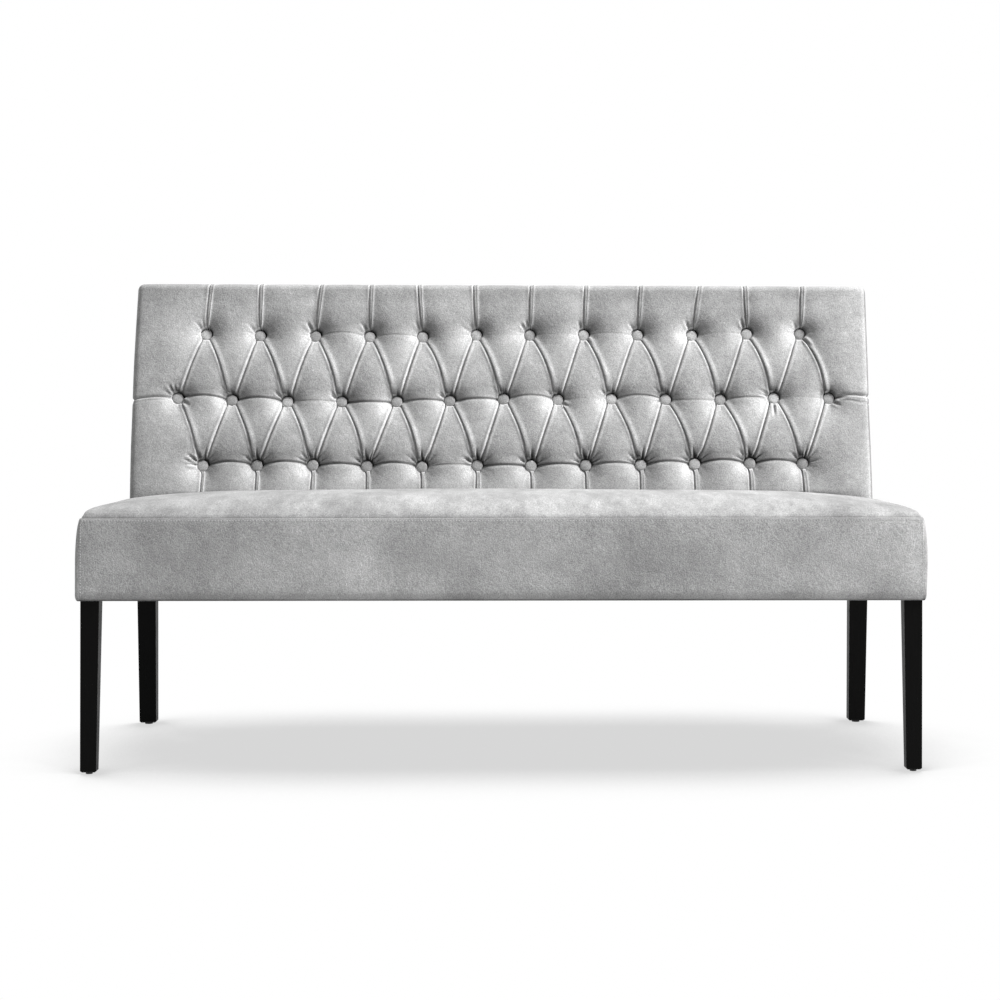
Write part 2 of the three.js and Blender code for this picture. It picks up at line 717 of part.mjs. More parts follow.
function backCushion() {
  // Behind the cushion only the cover runs on, over the top and down the sides to the outside back.
  // The hollow there opens the bottom of each pit, where the twine passes.
  const foamX = backHalf - backCoverThickness;
  const hollow = backBox(
    [-foamX, foamX],
    [-seatDepth, backLength - backCoverThickness],
    [padDepth, frameBackV + overrun],
  );
  // all that would reach below the seat's seam is cut off level
  const belowSeam = box(
    grow([-backHalf, backHalf], overrun),
    [-seatDepth, 0],
    [-backThickness - seatDepth, backThickness],
  );
  belowSeam.rotateX(recline).translate(0, gap / Math.cos(recline), 0);
  place("back_cushion", cut(tuftedBlock(frameBackV), [hollow, belowSeam]), velvet, back);
  const foamV = [baseFoamV, baseFoamV + baseFoamThickness];
  const baseFoam = backBox(grow([-foamX, foamX], -gap), [0, frameTopH], foamV);
  const holes = buttonPlaces.map((at) => backBar(twineHoleRadius, at, grow(foamV, overrun)));
  place("back_base_foam", cut(baseFoam, [belowSeam, ...holes]), foam, back);
}

// Buttons, tied row by row: one line of twine runs behind the board and through it to each button
function buttonRows() {
  const profile = [
    [0, -buttonShank],
    ...dishShares.map((share, i) => [buttonRadius * share, buttonDome * domeShares[i]]),
  ];
  const button = new THREE.LatheGeometry(profile.map(([r, y]) => new THREE.Vector2(r, y)), roundSides);
  button.rotateX(Math.PI / 2);
  const lacingDepth = 2 * twineRadius;
  for (const { name, h, xs } of rows) {
    const half = xs.at(-1) + twineRadius;
    const lacing = backBox([-half, half], centred(h, lacingDepth), [frameV, frameV + lacingDepth]);
    const pieces = xs.flatMap((x) => [
      backBar(twineRadius, { x, h }, [buttonSink + buttonDome, frameV + twineRadius]),
      button.clone().translate(x, h, -buttonSink - buttonDome),
    ]);
    place("button_row_" + name, join([lacing, ...pieces]), velvet, back);
  }
}

// Outside back: one flat panel, upright over the seat frame and reclined above it
function outsideBack() {
  const inside = stileRearY + gap;
  const outside = inside + backCoverThickness / Math.cos(recline);
  const outline = [
    [inside, legHeight],
    [outside, legHeight],
    [outside, seamZ],
    reclined(backLength, backThickness),
    reclined(backLength, frameBackV + gap),
    [inside, seamZ],
  ];
  place("outside_back", extrudeAcross(outline, [-backHalf, backHalf]), velvet);
}

seatFrame();
glides();
for (const [end, corner] of Object.entries(corners)) cornerHardware(end, corner);
straps();
seatCushion();
seatBorders();
dustCover();
backFrame();
backCushion();
buttonRows();
outsideBack();

// The floor point under the middle of the footprint becomes the origin.
bench.updateMatrixWorld(true);
const footprint = new THREE.Box3().setFromObject(bench, true);
bench.position.y = -(footprint.min.y + footprint.max.y) / 2;

export default bench;
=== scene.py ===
import json
import math
import random

import bpy
import numpy as np
from mathutils import Matrix, Vector


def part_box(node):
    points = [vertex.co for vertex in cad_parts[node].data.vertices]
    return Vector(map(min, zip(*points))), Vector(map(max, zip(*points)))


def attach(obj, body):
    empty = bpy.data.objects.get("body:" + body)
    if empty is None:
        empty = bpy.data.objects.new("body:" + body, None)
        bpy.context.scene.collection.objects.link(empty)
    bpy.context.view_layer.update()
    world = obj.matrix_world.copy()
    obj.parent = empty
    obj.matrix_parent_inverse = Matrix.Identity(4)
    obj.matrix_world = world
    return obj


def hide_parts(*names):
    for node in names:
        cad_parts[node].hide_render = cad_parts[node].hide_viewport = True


# The looks of the buttoned dining bench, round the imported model. Metres and radians.
# X runs to the right, Y to the back, Z up. On the back, x runs across, h up the recline from the
# seat's seam, and v into the back, square to its face.
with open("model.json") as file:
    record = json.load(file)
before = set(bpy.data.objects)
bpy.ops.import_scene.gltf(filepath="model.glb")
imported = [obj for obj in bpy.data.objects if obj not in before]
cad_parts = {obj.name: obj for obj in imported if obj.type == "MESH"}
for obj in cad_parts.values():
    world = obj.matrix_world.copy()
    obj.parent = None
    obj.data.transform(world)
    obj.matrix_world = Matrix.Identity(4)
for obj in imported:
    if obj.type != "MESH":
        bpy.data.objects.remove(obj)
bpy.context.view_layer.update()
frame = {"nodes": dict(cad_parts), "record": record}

# Places taken from the frame
front_low, front_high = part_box("seat_border_front")
panel_low, panel_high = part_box("seat_top_panel")
HALF_WIDTH = front_high.x
FRONT_Y = front_low.y
HEM_Z = front_low.z
SEAM_Z = front_high.z
BAND_REAR_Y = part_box("seat_border_right")[1].y
PANEL_X = panel_high.x
PANEL_FRONT_Y = panel_low.y
BACK_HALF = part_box("back_cushion")[1].x

# Sizes shared with the part
SEAT_DEPTH = 0.452
RECLINE = math.radians(10.9)
BACK_LENGTH = 0.485
BACK_Y = FRONT_Y + SEAT_DEPTH
CLEAR = 0.0003

# The buttoned back
COLUMN_COUNT = 13  # buttons in the middle row; the other rows have one less
SIDE_MARGIN = 0.087
LOWEST_ROW = 0.088
TOP_MARGIN = 0.109
PITCH = 2 * (BACK_HALF - SIDE_MARGIN) / (COLUMN_COUNT - 1)
ROW_PITCH = (BACK_LENGTH - TOP_MARGIN - LOWEST_ROW) / 2
ROW_HEIGHTS = [LOWEST_ROW + i * ROW_PITCH for i in range(3)]
LOWER, MIDDLE, UPPER = ROW_HEIGHTS
RIM = 0.013  # radius of the rounded edge at the top and sides
RETURN_DEPTH = 0.0885
LEFT_SWELL = 0.006  # the wadding fills the cover's sides and top out past the frame
RIGHT_SWELL = 0.0006
TOP_SWELL = 0.0026
BUTTON_RADIUS = 0.0122
BUTTON_SINK = 0.0188
BUTTON_DOME = 0.0038
PILLOW_DIP = 0.0195
PILLOW_REACH = 0.033
PIT_DIP = 0.014
PUFF = 0.0045
SIDE_FALL = 0.0085  # how far the margins at the sides fall back towards the edge
SIDE_FALL_REACH = 0.066
LINE_OFFSET = 0.005  # a pleat meets its button this far from the middle

SEED = 7

# How far each button was set off its true place, right and up, in mm: lower, middle, upper row
SET_RIGHT = [
    [0, -1.7, 0, -1.7, -1.7, -0.4, -2.2, -1.9, -0.6, -1.7, 0, -3],
    [0.6, -0.9, 1.7, 0, 1.7, -1.7, -3.1, -2.8, -4.5, -4, -2.4, -2.8, -1.1],
    [-1.3, -2.8, 0, 0, -2.8, -3.9, -5, -5, -4.8, -3.3, -0.7, -1.7],
]
SET_UP = [
    [-1.2, -1.2, 0, -2.1, -3.8, -0.7, -0.9, 0.6, 1.5, 3.4, 5, 4.6],
    [1.7, -2.2, -5, -5, -4.6, -2.6, 1.7, 0, 2.2, 1.3, 1.3, 5, 4.1],
    [-0.6, -3.1, -3.9, -4.8, -5, 0, 0, 0.6, 0.9, 0.7, 4.1, 4.1],
]


def lattice(row):
    count = COLUMN_COUNT if row == 1 else COLUMN_COUNT - 1
    return [(k - (count - 1) / 2) * PITCH for k in range(count)]


def set_off(x, h, table):
    """How far the cloth is drawn along with the buttons, from one of the two tables."""
    rows = [np.interp(x, lattice(row), table[row]) / 1000 for row in range(3)]
    low = rows[0] * (0.5 + 0.5 * np.clip(h / LOWER, 0, 1))
    middle = np.clip((h - LOWER) / ROW_PITCH, 0, 1)
    high = np.clip((h - MIDDLE) / ROW_PITCH, 0, 1)
    end = 1 - np.clip((h - UPPER) / TOP_MARGIN, 0, 1)
    drawn = low + (rows[1] - low) * middle
    return (drawn + (rows[2] - drawn) * high) * end * ease((BACK_HALF - abs(x)) / 0.06)


def reclined(x, h, v):
    """Points of the back as an array of world points."""
    s, c = math.sin(RECLINE), math.cos(RECLINE)
    return np.stack([x, BACK_Y + h * s + v * c, SEAM_Z + h * c - v * s], axis=-1)


# Camera, fitted to the photograph
SENSOR_WIDTH = 36
LENS = 63.14
SHIFT = (-0.0548, -0.0854)
CAMERA_PLACE = (0.0054, -3.61514, 0.6757)
CAMERA_PAN = -0.0271
CAMERA_ROLL = 0.0018


def make_camera():
    data = bpy.data.cameras.new("camera")
    data.sensor_width = SENSOR_WIDTH
    data.lens = LENS
    data.shift_x, data.shift_y = SHIFT
    camera = bpy.data.objects.new("camera", data)
    bpy.context.scene.collection.objects.link(camera)
    turn = Matrix.Rotation(CAMERA_PAN, 4, "Z") @ Matrix.Rotation(math.pi / 2, 4, "X")
    roll = Matrix.Rotation(CAMERA_ROLL, 4, "Z")
    camera.matrix_world = Matrix.Translation(CAMERA_PLACE) @ turn @ roll
    bpy.context.scene.camera = camera


make_camera()


# Materials
def add_node(tree, kind, links=(), **settings):
    """A new node with its settings, and each input linked or set."""
    node = tree.nodes.new(kind)
    for key, value in settings.items():
        setattr(node, key, value)
    for socket, source in dict(links).items():
        if isinstance(source, bpy.types.NodeSocket):
            tree.links.new(source, node.inputs[socket])
        else:
            node.inputs[socket].default_value = source
    return node


class Shader:
    """A new material with a few short ways to add nodes."""

    def __init__(self, name, **inputs):
        self.material = bpy.data.materials.new(name)
        self.material.use_nodes = True
        self.tree = self.material.node_tree
        self.bsdf = self.tree.nodes["Principled BSDF"]
        for key, value in inputs.items():
            self.bsdf.inputs[key.replace("_", " ")].default_value = value
        self.place = self.add("ShaderNodeTexCoord").outputs["Object"]

    def add(self, kind, links=(), **settings):
        return add_node(self.tree, kind, links, **settings)

    def link(self, source, socket):
        self.tree.links.new(source, self.bsdf.inputs[socket])

    def noise(self, scale, detail=2.0, roughness=0.5, stretch=None):
        place = self.place
        if stretch:
            place = self.add("ShaderNodeMapping", {"Vector": place, "Scale": stretch}).outputs[0]
        links = {"Vector": place, "Scale": scale, "Detail": detail, "Roughness": roughness}
        return self.add("ShaderNodeTexNoise", links).outputs["Fac"]

    def ranged(self, value, low, high, start=0.25, end=0.75):
        links = {0: value, 1: start, 2: end, 3: low, 4: high}
        return self.add("ShaderNodeMapRange", links).outputs[0]

    def math(self, operation, a, b):
        return self.add("ShaderNodeMath", {0: a, 1: b}, operation=operation).outputs[0]

    def tinted(self, color, brightness):
        """The colour times a varying brightness, as the base colour."""
        links = {0: color[:3], "Scale": brightness}
        mix = self.add("ShaderNodeVectorMath", links, operation="SCALE")
        self.link(mix.outputs[0], "Base Color")

    def bump(self, height, distance, strength=1.0, under=None):
        links = {"Height": height, "Distance": distance, "Strength": strength}
        if under is not None:
            links["Normal"] = under
        return self.add("ShaderNodeBump", links).outputs[0]


def grey(value):
    return (value, value, value, 1)


def velvet_material(name, base, patches, length=1, tufts=0.12):
    """Short pile: lighter where it is seen aslant, patchy where it has been brushed, painted shade in the
    folds.
    A mesh attribute holds painted light and shade for each point, some patches, and a random tone for each
    button."""
    s = Shader(name, Roughness=0.9, Sheen_Weight=0.4, Sheen_Roughness=0.5)
    s.bsdf.inputs["Specular IOR Level"].default_value = 0.1
    s.bsdf.inputs["Sheen Tint"].default_value = (1, 1, 1, 1)
    broad = s.ranged(s.noise(11, 3, 0.6, stretch=(1, 0.4, 1)), 1 - patches, 1 + patches)
    clouds = s.ranged(s.noise(4.5, 2, 0.5), 0.9, 1.1)
    broad = s.math("MULTIPLY", broad, clouds)
    tone_and_painted_light = s.ranged(s.noise(60, 4, 0.65, stretch=(1, length, 1)), 1 - tufts, 1 + tufts)
    fibre = s.noise(480, 3, 0.75, stretch=(1, length, 1))
    speckle = s.ranged(fibre, 0.55, 1.45)
    # Painted light and shade, patches and the buttons' random tone, read from the mesh attribute
    stored_light_and_tone = s.add("ShaderNodeAttribute", attribute_name="tone_and_painted_light").outputs["Fac"]
    pile = s.math("MULTIPLY", s.math("ADD", stored_light_and_tone, 1.0), s.math("MULTIPLY", broad, tone_and_painted_light))
    s.tinted(grey(base), s.math("MULTIPLY", pile, speckle))
    brush_bump_and_painted_light = s.bump(s.noise(120, 3, 0.6), 0.0016, 0.6)
    s.link(s.bump(fibre, 0.0006, 0.6, brush_bump_and_painted_light), "Normal")
    return s.material


def lacquer_material():
    s = Shader("black_lacquer", Roughness=0.3)
    s.bsdf.inputs["Specular IOR Level"].default_value = 0.06
    grain = s.noise(60, 4, 0.6, stretch=(6, 6, 0.35))
    s.tinted((0.0026, 0.0025, 0.0024), s.ranged(grain, 0.7, 1.4))
    s.link(s.ranged(s.noise(40, 3), 0.36, 0.46), "Roughness")
    s.link(s.bump(grain, 0.0003, 0.25), "Normal")
    return s.material


def wood_material(name, color, stretch, scale=25):
    s = Shader(name, Roughness=0.6)
    grain = s.noise(scale, 6, 0.65, stretch=stretch)
    pores = s.noise(scale * 14, 2, 0.5, stretch=stretch)
    s.tinted(color, s.math("MULTIPLY", s.ranged(grain, 0.72, 1.12), s.ranged(pores, 0.9, 1.05)))
    s.link(s.ranged(grain, 0.5, 0.72), "Roughness")
    s.link(s.bump(pores, 0.0004, 0.35), "Normal")
    return s.material


def steel_material():
    s = Shader("zinc_steel", Metallic=1.0, Roughness=0.35)
    s.tinted((0.58, 0.6, 0.62), s.ranged(s.noise(180, 3), 0.88, 1.06))
    s.link(s.ranged(s.noise(260, 3), 0.28, 0.46), "Roughness")
    return s.material


def woven(name, color, pitch, contrast, roughness):
    """Cloth with threads both ways, from two waves across the piece."""
    s = Shader(name, Roughness=roughness, Sheen_Weight=0.15)
    waves = []
    for direction in ("X", "Y"):
        links = {"Vector": s.place, "Scale": 0.31 / pitch, "Distortion": 0.4}
        wave = s.add("ShaderNodeTexWave", links, bands_direction=direction)
        waves.append(wave.outputs["Fac"])
    threads = s.math("MULTIPLY", *waves)
    dust = s.ranged(s.noise(45, 3), 0.85, 1.15)
    s.tinted(color, s.math("MULTIPLY", s.ranged(threads, 1 - contrast, 1 + contrast, 0, 1), dust))
    s.link(s.bump(threads, 0.0004, 0.6), "Normal")
    return s.material


def foam_material():
    s = Shader("foam", Roughness=0.95, Subsurface_Weight=0.1)
    cells = s.add("ShaderNodeTexVoronoi", {"Vector": s.place, "Scale": 700}).outputs["Distance"]
    s.tinted((0.78, 0.72, 0.55), s.ranged(cells, 0.82, 1.05, 0, 0.7))
    s.link(s.bump(cells, 0.0006, 0.5), "Normal")
    return s.material


def plastic_material():
    s = Shader("glide_plastic", Roughness=0.5)
    s.tinted(grey(0.02), s.ranged(s.noise(300, 3), 0.8, 1.25))
    s.link(s.bump(s.noise(900, 2), 0.0002, 0.4), "Normal")
    return s.material


def thread_material():
    s = Shader("seam_thread", Roughness=0.6, Sheen_Weight=0.3)
    twist = s.noise(1500, 1, 0.5)
    s.tinted(grey(0.47), s.ranged(twist, 0.8, 1.15))
    s.link(s.bump(twist, 0.0002, 0.5), "Normal")
    return s.material


VELVET = velvet_material("grey_velvet", 0.38, 0.2)
SEAT_VELVET = velvet_material("seat_velvet", 0.355, 0.34, 0.25, 0.22)  # brushed to the front
BUTTON_VELVET = velvet_material("button_velvet", 0.42, 0.2)
LACQUER = lacquer_material()
THREAD = thread_material()
LINING = woven("black_lining", grey(0.012), 0.0009, 0.35, 0.9)
FINISHES = {
    "velvet": VELVET,
    "lacquered_wood": LACQUER,
    "hardwood": wood_material("beech", (0.56, 0.37, 0.19), (0.12, 1, 1)),
    "plywood": wood_material("plywood", (0.52, 0.36, 0.18), (0.2, 1, 0.35), 12),
    "steel": steel_material(),
    "webbing": woven("webbing", (0.035, 0.036, 0.04), 0.0022, 0.5, 0.8),
    "foam": foam_material(),
    "lining": LINING,
    "glide_plastic": plastic_material(),
}


# Mesh helpers
def grid_faces(rows, columns, start=0):
    """Quads of a grid of points that runs row by row, wound so that they face out of (columns, rows)."""
    first = start + np.arange((rows - 1) * columns).reshape(rows - 1, columns)[:, :-1].ravel()
    return np.stack([first, first + 1, first + 1 + columns, first + columns], axis=1)


def two_layers(outer, inner):
    """Points and faces of a closed sheet between two grids of points of the same size."""
    rows, columns = outer.shape[:2]
    count = rows * columns
    rim = np.concatenate([
        np.arange(columns - 1),
        np.arange(rows - 1) * columns + columns - 1,
        count - 1 - np.arange(columns - 1),
        count - columns - np.arange(rows - 1) * columns,
    ])
    after = np.roll(rim, -1)
    faces = [grid_faces(rows, columns), grid_faces(rows, columns, count)[:, ::-1]]
    faces.append(np.stack([rim, rim + count, after + count, after], axis=1))
    return np.concatenate([outer.reshape(-1, 3), inner.reshape(-1, 3)]), np.concatenate(faces)


def ring_faces(start, rings, sides):
    """Quads between rings of points that follow each other."""
    faces = []
    for first in range(start, start + (rings - 1) * sides, sides):
        for k in range(sides):
            a, b = first + k, first + (k + 1) % sides
            faces.append((a, b, b + sides, a + sides))
    return faces


def make_mesh(name, points, faces, material, smooth=True):
    mesh = bpy.data.meshes.new(name)
    mesh.from_pydata(np.asarray(points).reshape(-1, 3).tolist(), [], [list(map(int, f)) for f in faces])
    mesh.validate()
    if smooth:
        mesh.shade_smooth()
    mesh.materials.append(material)
    piece = bpy.data.objects.new(name, mesh)
    bpy.context.scene.collection.objects.link(piece)
    return piece


def set_tone_and_painted_light(piece, values):
    """How much lighter or darker the first points of the piece are drawn: painted light and shade, and a
    random tone.
    """
    full = np.zeros(len(piece.data.vertices), dtype=np.float32)
    full[: values.size] = values.ravel()
    piece.data.attributes.new("tone_and_painted_light", "FLOAT", "POINT").data.foreach_set("value", full)


def finish_piece(piece, slot, *nodes):
    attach(piece, "root")
    if nodes:
        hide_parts(*nodes)
    return piece


def fade(distance, reach):
    return np.exp(-((distance / reach) ** 2))


def ease(t):
    t = np.clip(t, 0, 1)
    return t * t * (3 - 2 * t)


# Pleats of the back. Each button of the upper and lower row carries one pair of lines. Each line runs
# from the seat up to the lower button, out to a middle button, back to the upper one and over the top.
PLEAT_DEPTH = 0.0074
BOW_RIGHT = 0.008  # how far a pleat that falls to the right bends outwards
BOW_LEFT = 0.0015
TOP_LEANS = [6, -4, 10, 0, -14, -10, -4, -2, 0, 12, -7, 2]  # upright pleats at the top, in mm
STEPS_TO_LINE = 18
CLUSTER = 1.8

random.seed(SEED)
wobble = [[random.uniform(-1, 1) for _ in range(8)] for _ in range(2 * (COLUMN_COUNT - 1))]


def line_places(h):
    """x of every pleat line at the heights h, as an array of (height, line)."""
    upper = np.clip((h - MIDDLE) / ROW_PITCH, 0, 1)
    lower = np.clip((MIDDLE - h) / ROW_PITCH, 0, 1)
    spread = np.where(h > MIDDLE, 1 - upper, 1 - lower)
    above = np.clip((h - UPPER) / TOP_MARGIN, 0, 1)
    below = np.clip((LOWER - h) / LOWEST_ROW, 0, 1)
    lines = []
    for pair, middle in enumerate(lattice(0)):
        for side in (-1, 1):
            jitter = wobble[2 * pair + (side > 0)]
            out = LINE_OFFSET + (PITCH / 2 - 2 * LINE_OFFSET) * spread
            out = out - 0.002 * fade(h - UPPER, 0.02)
            falls_right = (side > 0) == (h > MIDDLE)
            bow = np.where(falls_right, BOW_RIGHT + 0.002 * jitter[0], BOW_LEFT * jitter[1])
            bend = bow * np.sin(np.pi * np.where(h > MIDDLE, upper, lower)) ** 1.2
            lean = TOP_LEANS[pair] / 1000 * above + 0.002 * jitter[2] * below
            band = 0.0045 * ease(8 * above) if side < 0 else 0.0035 * above
            band = band + (0.0042 if side < 0 else 0.0015) * ease(4 * below)
            lines.append(middle + side * out + bend + lean + band)
    return np.stack(lines, axis=1)


def row_stations():
    """Heights of the rows of points, close together at the level creases."""
    near = [0, 0.0008, 0.0017, 0.0028, 0.0042, 0.006, 0.0085, 0.0115, 0.0145]
    stations = set(np.arange(0, BACK_LENGTH - RIM, 0.0026))
    for h in ROW_HEIGHTS:
        stations = {s for s in stations if abs(s - h) > near[-1] + 0.0015}
        stations |= {h + side * step for step in near for side in (-1, 1)}
    turn = [BACK_LENGTH - RIM + RIM * math.sin(a) for a in np.linspace(0, math.pi / 2, 7)]
    return np.array(sorted(stations) + turn)


def column_stations(lines):
    """x of every point, with the numbers of the pleat lines left and right of it."""
    count = lines.shape[1]
    edge = BACK_HALF - RIM
    near = 0.5 * (np.arange(STEPS_TO_LINE + 1) / STEPS_TO_LINE) ** CLUSTER
    between = np.concatenate([near, 1 - near[-2:0:-1]])
    turn = edge + RIM * np.sin(np.linspace(0, math.pi / 2, 7))
    margin = (np.arange(2 * STEPS_TO_LINE + 1) / (2 * STEPS_TO_LINE)) ** 1.5
    columns, left, right = [], [], []

    def add(x, l, r):
        columns.append(np.broadcast_to(x, lines.shape[:1]))
        left.append(l)
        right.append(r)

    for x in -turn[::-1]:
        add(x, -1, 0)
    for u in margin[-2:0:-1]:
        add(lines[:, 0] + (-edge - lines[:, 0]) * u, -1, 0)
    for i in range(count - 1):
        for u in between:
            add(lines[:, i] + (lines[:, i + 1] - lines[:, i]) * u, i, i + 1)
    add(lines[:, -1], count - 1, count)
    for u in margin[1:-1]:
        add(lines[:, -1] + (edge - lines[:, -1]) * u, count - 1, count)
    for x in turn:
        add(x, count - 1, count)
    return np.stack(columns, axis=1), np.array(left), np.array(right)


def shoulder(distance, radius):
    """From 1 in the groove to 0 on the pillow, round like a stuffed edge."""
    t = 1 - np.clip(distance / radius, 0, 1)
    return 1 - np.sqrt(1 - t * t)


def pleat_fields(x, h, lines, left, right):
    """Depth of the pleats and the sideways fold-over, at every point. On a pleat that falls to the
    right, the cloth on its right side is tucked up to a crest beside the groove."""
    count = lines.shape[1]
    padded = np.concatenate([lines[:, :1] - 1, lines, lines[:, -1:] + 1], axis=1)
    slope = np.cos(np.arctan(np.gradient(padded, h[:, 0], axis=0)))
    width = (padded[:, right + 1] - padded[:, left + 1]) / 2
    depth = np.zeros_like(x)
    shift = np.zeros_like(x)
    above = np.clip((h - UPPER) / TOP_MARGIN, 0, 1)
    sloping = (h <= UPPER) & (h >= LOWER)
    for numbers, side in ((left, 1), (right, -1)):
        real = (numbers >= 0) & (numbers < count)
        line = np.clip(numbers, 0, count - 1)
        distance = side * (x - padded[:, numbers + 1]) * slope[:, numbers + 1]
        strength = np.array([1 + 0.2 * w[3] for w in wobble])[line]
        first = (line % 2 == 0)[None, :]
        upright = np.where(first, 0.8 - 0.35 * above, 0)
        low = np.where(first, 0.62, 0)
        grade = np.where(h > UPPER, upright, np.where(h < LOWER, low, 1))
        meets = fade(np.minimum(abs(h - UPPER), abs(h - LOWER)), 0.012)
        grade = grade + (0.8 - grade) * meets * ~sloping
        falls_right = np.where(h > MIDDLE, ~first, first) & sloping
        tucked = falls_right & (side > 0)
        radius = np.where(falls_right, 0.004, 0.0034 if side < 0 else 0.0024)
        radius = np.where(tucked, 0.0016, radius)
        radius = np.minimum(radius, np.maximum(width, 0.0012))
        amount = PLEAT_DEPTH * strength * grade * real * np.where(falls_right | ~sloping, 1, 0.8)
        depth += amount * shoulder(distance, radius)
        crest = np.where(tucked, 0.003, np.where(sloping, 0.0046, 0.0038))
        reach = np.where(distance < crest, 0.0022, np.where(tucked, 0.006, 0.0032))
        lip = np.where(tucked, 0.0032, np.where(falls_right, 0.0014, 0.0015))
        lip = np.where(sloping, lip, 0.0019)
        room = ease(width / 0.014 - 0.6)
        depth -= lip * strength * fade(distance - crest, reach) * grade * real * room
        second = ~first & ~sloping & real
        depth -= 0.0009 * strength * second * fade(distance, 0.0019) * (1 - meets)
        over = np.where(tucked, 0.0018, 0.0003)
        shift -= side * over * fade(distance, 0.0035) * grade * real
    return depth, shift


def puff_field(x, h, lines, left, right):
    """How far each pillow falls away from its middle towards the pleats on both sides."""
    count = lines.shape[1]
    padded = np.concatenate([lines[:, :1] - PITCH, lines, lines[:, -1:] + PITCH], axis=1)
    start, end = padded[:, left + 1], padded[:, right + 1]
    width = end - start
    u = np.clip((x - start) / width, 0, 1)
    u = np.where(left < 0, np.maximum(u, 0.5), np.where(right >= count, np.minimum(u, 0.5), u))
    margin = np.where((left < 0) | (right >= count), 0.55, 1)
    top = 1 - 0.7 * ease((h - BACK_LENGTH + 0.04) / 0.03)
    return PUFF * margin * top * np.minimum(width / PITCH, 1) * (1 - 4 * u * (1 - u)) ** 1.5


# Depth and upward bend of the level crease between each two buttons, in mm: lower, middle, upper row
CREASES = [
    [(5.6, 9), (5.6, 9), (5.4, 5), (5.4, 9), (1.6, 3), (5.2, 2),
     (5.6, 4), (4.4, 5), (5, 7), (5.6, 9), (5.6, 8)],
    [(4.6, 9), (4.8, 8), (1.2, 1), (5, 0), (4, 3), (4.8, 3),
     (2.8, 9), (0.4, 1), (3, 9), (1.2, -2), (2.4, 3), (0.4, 2)],
    [(0, 0), (0, 0), (1.2, 8), (1, 4), (0, 0), (0.3, 0),
     (0.3, 1), (0.7, 4), (0, 0), (0.4, 3), (0, 0)],
]
# Short folds that run out from a button: row, button, direction in degrees, length in mm
SHORT_FOLDS = [
    (0, 0, 145, 34), (0, 0, 162, 38), (0, 0, 176, 26), (1, 0, 122, 28), (1, 0, 103, 24), (1, 0, -35, 26),
    (1, 0, 8, 20), (2, 2, 122, 30), (2, 3, 118, 22), (2, 6, 108, 28), (2, 6, 128, 26), (2, 9, 114, 28),
    (2, 9, 98, 22), (2, 10, 112, 32), (1, 12, 4, 34), (1, 12, -34, 24), (1, 11, 152, 34), (1, 11, 166, 28),
    (2, 11, -50, 34), (1, 11, -92, 36), (0, 3, 48, 34), (1, 5, 150, 26), (1, 7, -35, 22), (2, 7, -52, 20),
    (0, 7, 20, 34), (0, 5, 150, 26), (1, 9, 205, 24), (0, 10, 35, 26), (1, 2, 150, 24), (1, 3, 150, 24),
]
FOLD_DEPTH = 0.0033


def crease_fields(x, h):
    """Depth of the level creases, and how far the rows near each one arch upwards."""
    depth = np.zeros_like(x)
    arch = np.zeros_like(x)
    for row, height in enumerate(ROW_HEIGHTS):
        places = lattice(row)
        for k in range(len(places) - 1):
            across = (x - places[k]) / PITCH
            inside = (across > 0) & (across < 1)
            dip, rise = (value / 1000 for value in CREASES[row][k])
            bow = 4 * across * (1 - across)
            near = fade(h - height, 0.02)
            arch += inside * rise * bow * near
            reach = np.where(h > height, 0.0017, 0.0042)
            depth += inside * dip * (1 - 0.35 * bow) * fade(h - height, reach)
            depth += inside * dip * 0.4 * fade(h - height, 0.022)
        if row == 1:
            outside = (abs(x) - places[-1]) / SIDE_MARGIN
            beyond = outside > 0
            outside = np.clip(outside, 0, 1)
            bend = 0.004 * np.sin(math.pi * outside) - 0.003 * outside * (x < 0) + 0.008 * outside * (x > 0)
            depth += beyond * (0.0026 + 0.0016 * outside) * fade(h - height - bend, 0.0028)
            depth += beyond * 0.0012 * fade(h - height + 0.009 * outside, 0.0022)
    return depth, arch


# Painted light and shade round each button, lighter on its left and darker on its right: right, up, reach
# and how much, for each row
PAINTED_LIGHT_ROUND_BUTTONS = [
    [(-0.022, -0.016, 0.018, 0.22), (0.02, -0.02, 0.016, -0.12)],
    [(-0.022, -0.012, 0.02, 0.25), (0.03, 0.012, 0.018, -0.1)],
    [(-0.021, 0.006, 0.02, 0.42), (0.026, 0.018, 0.022, -0.2)],
]


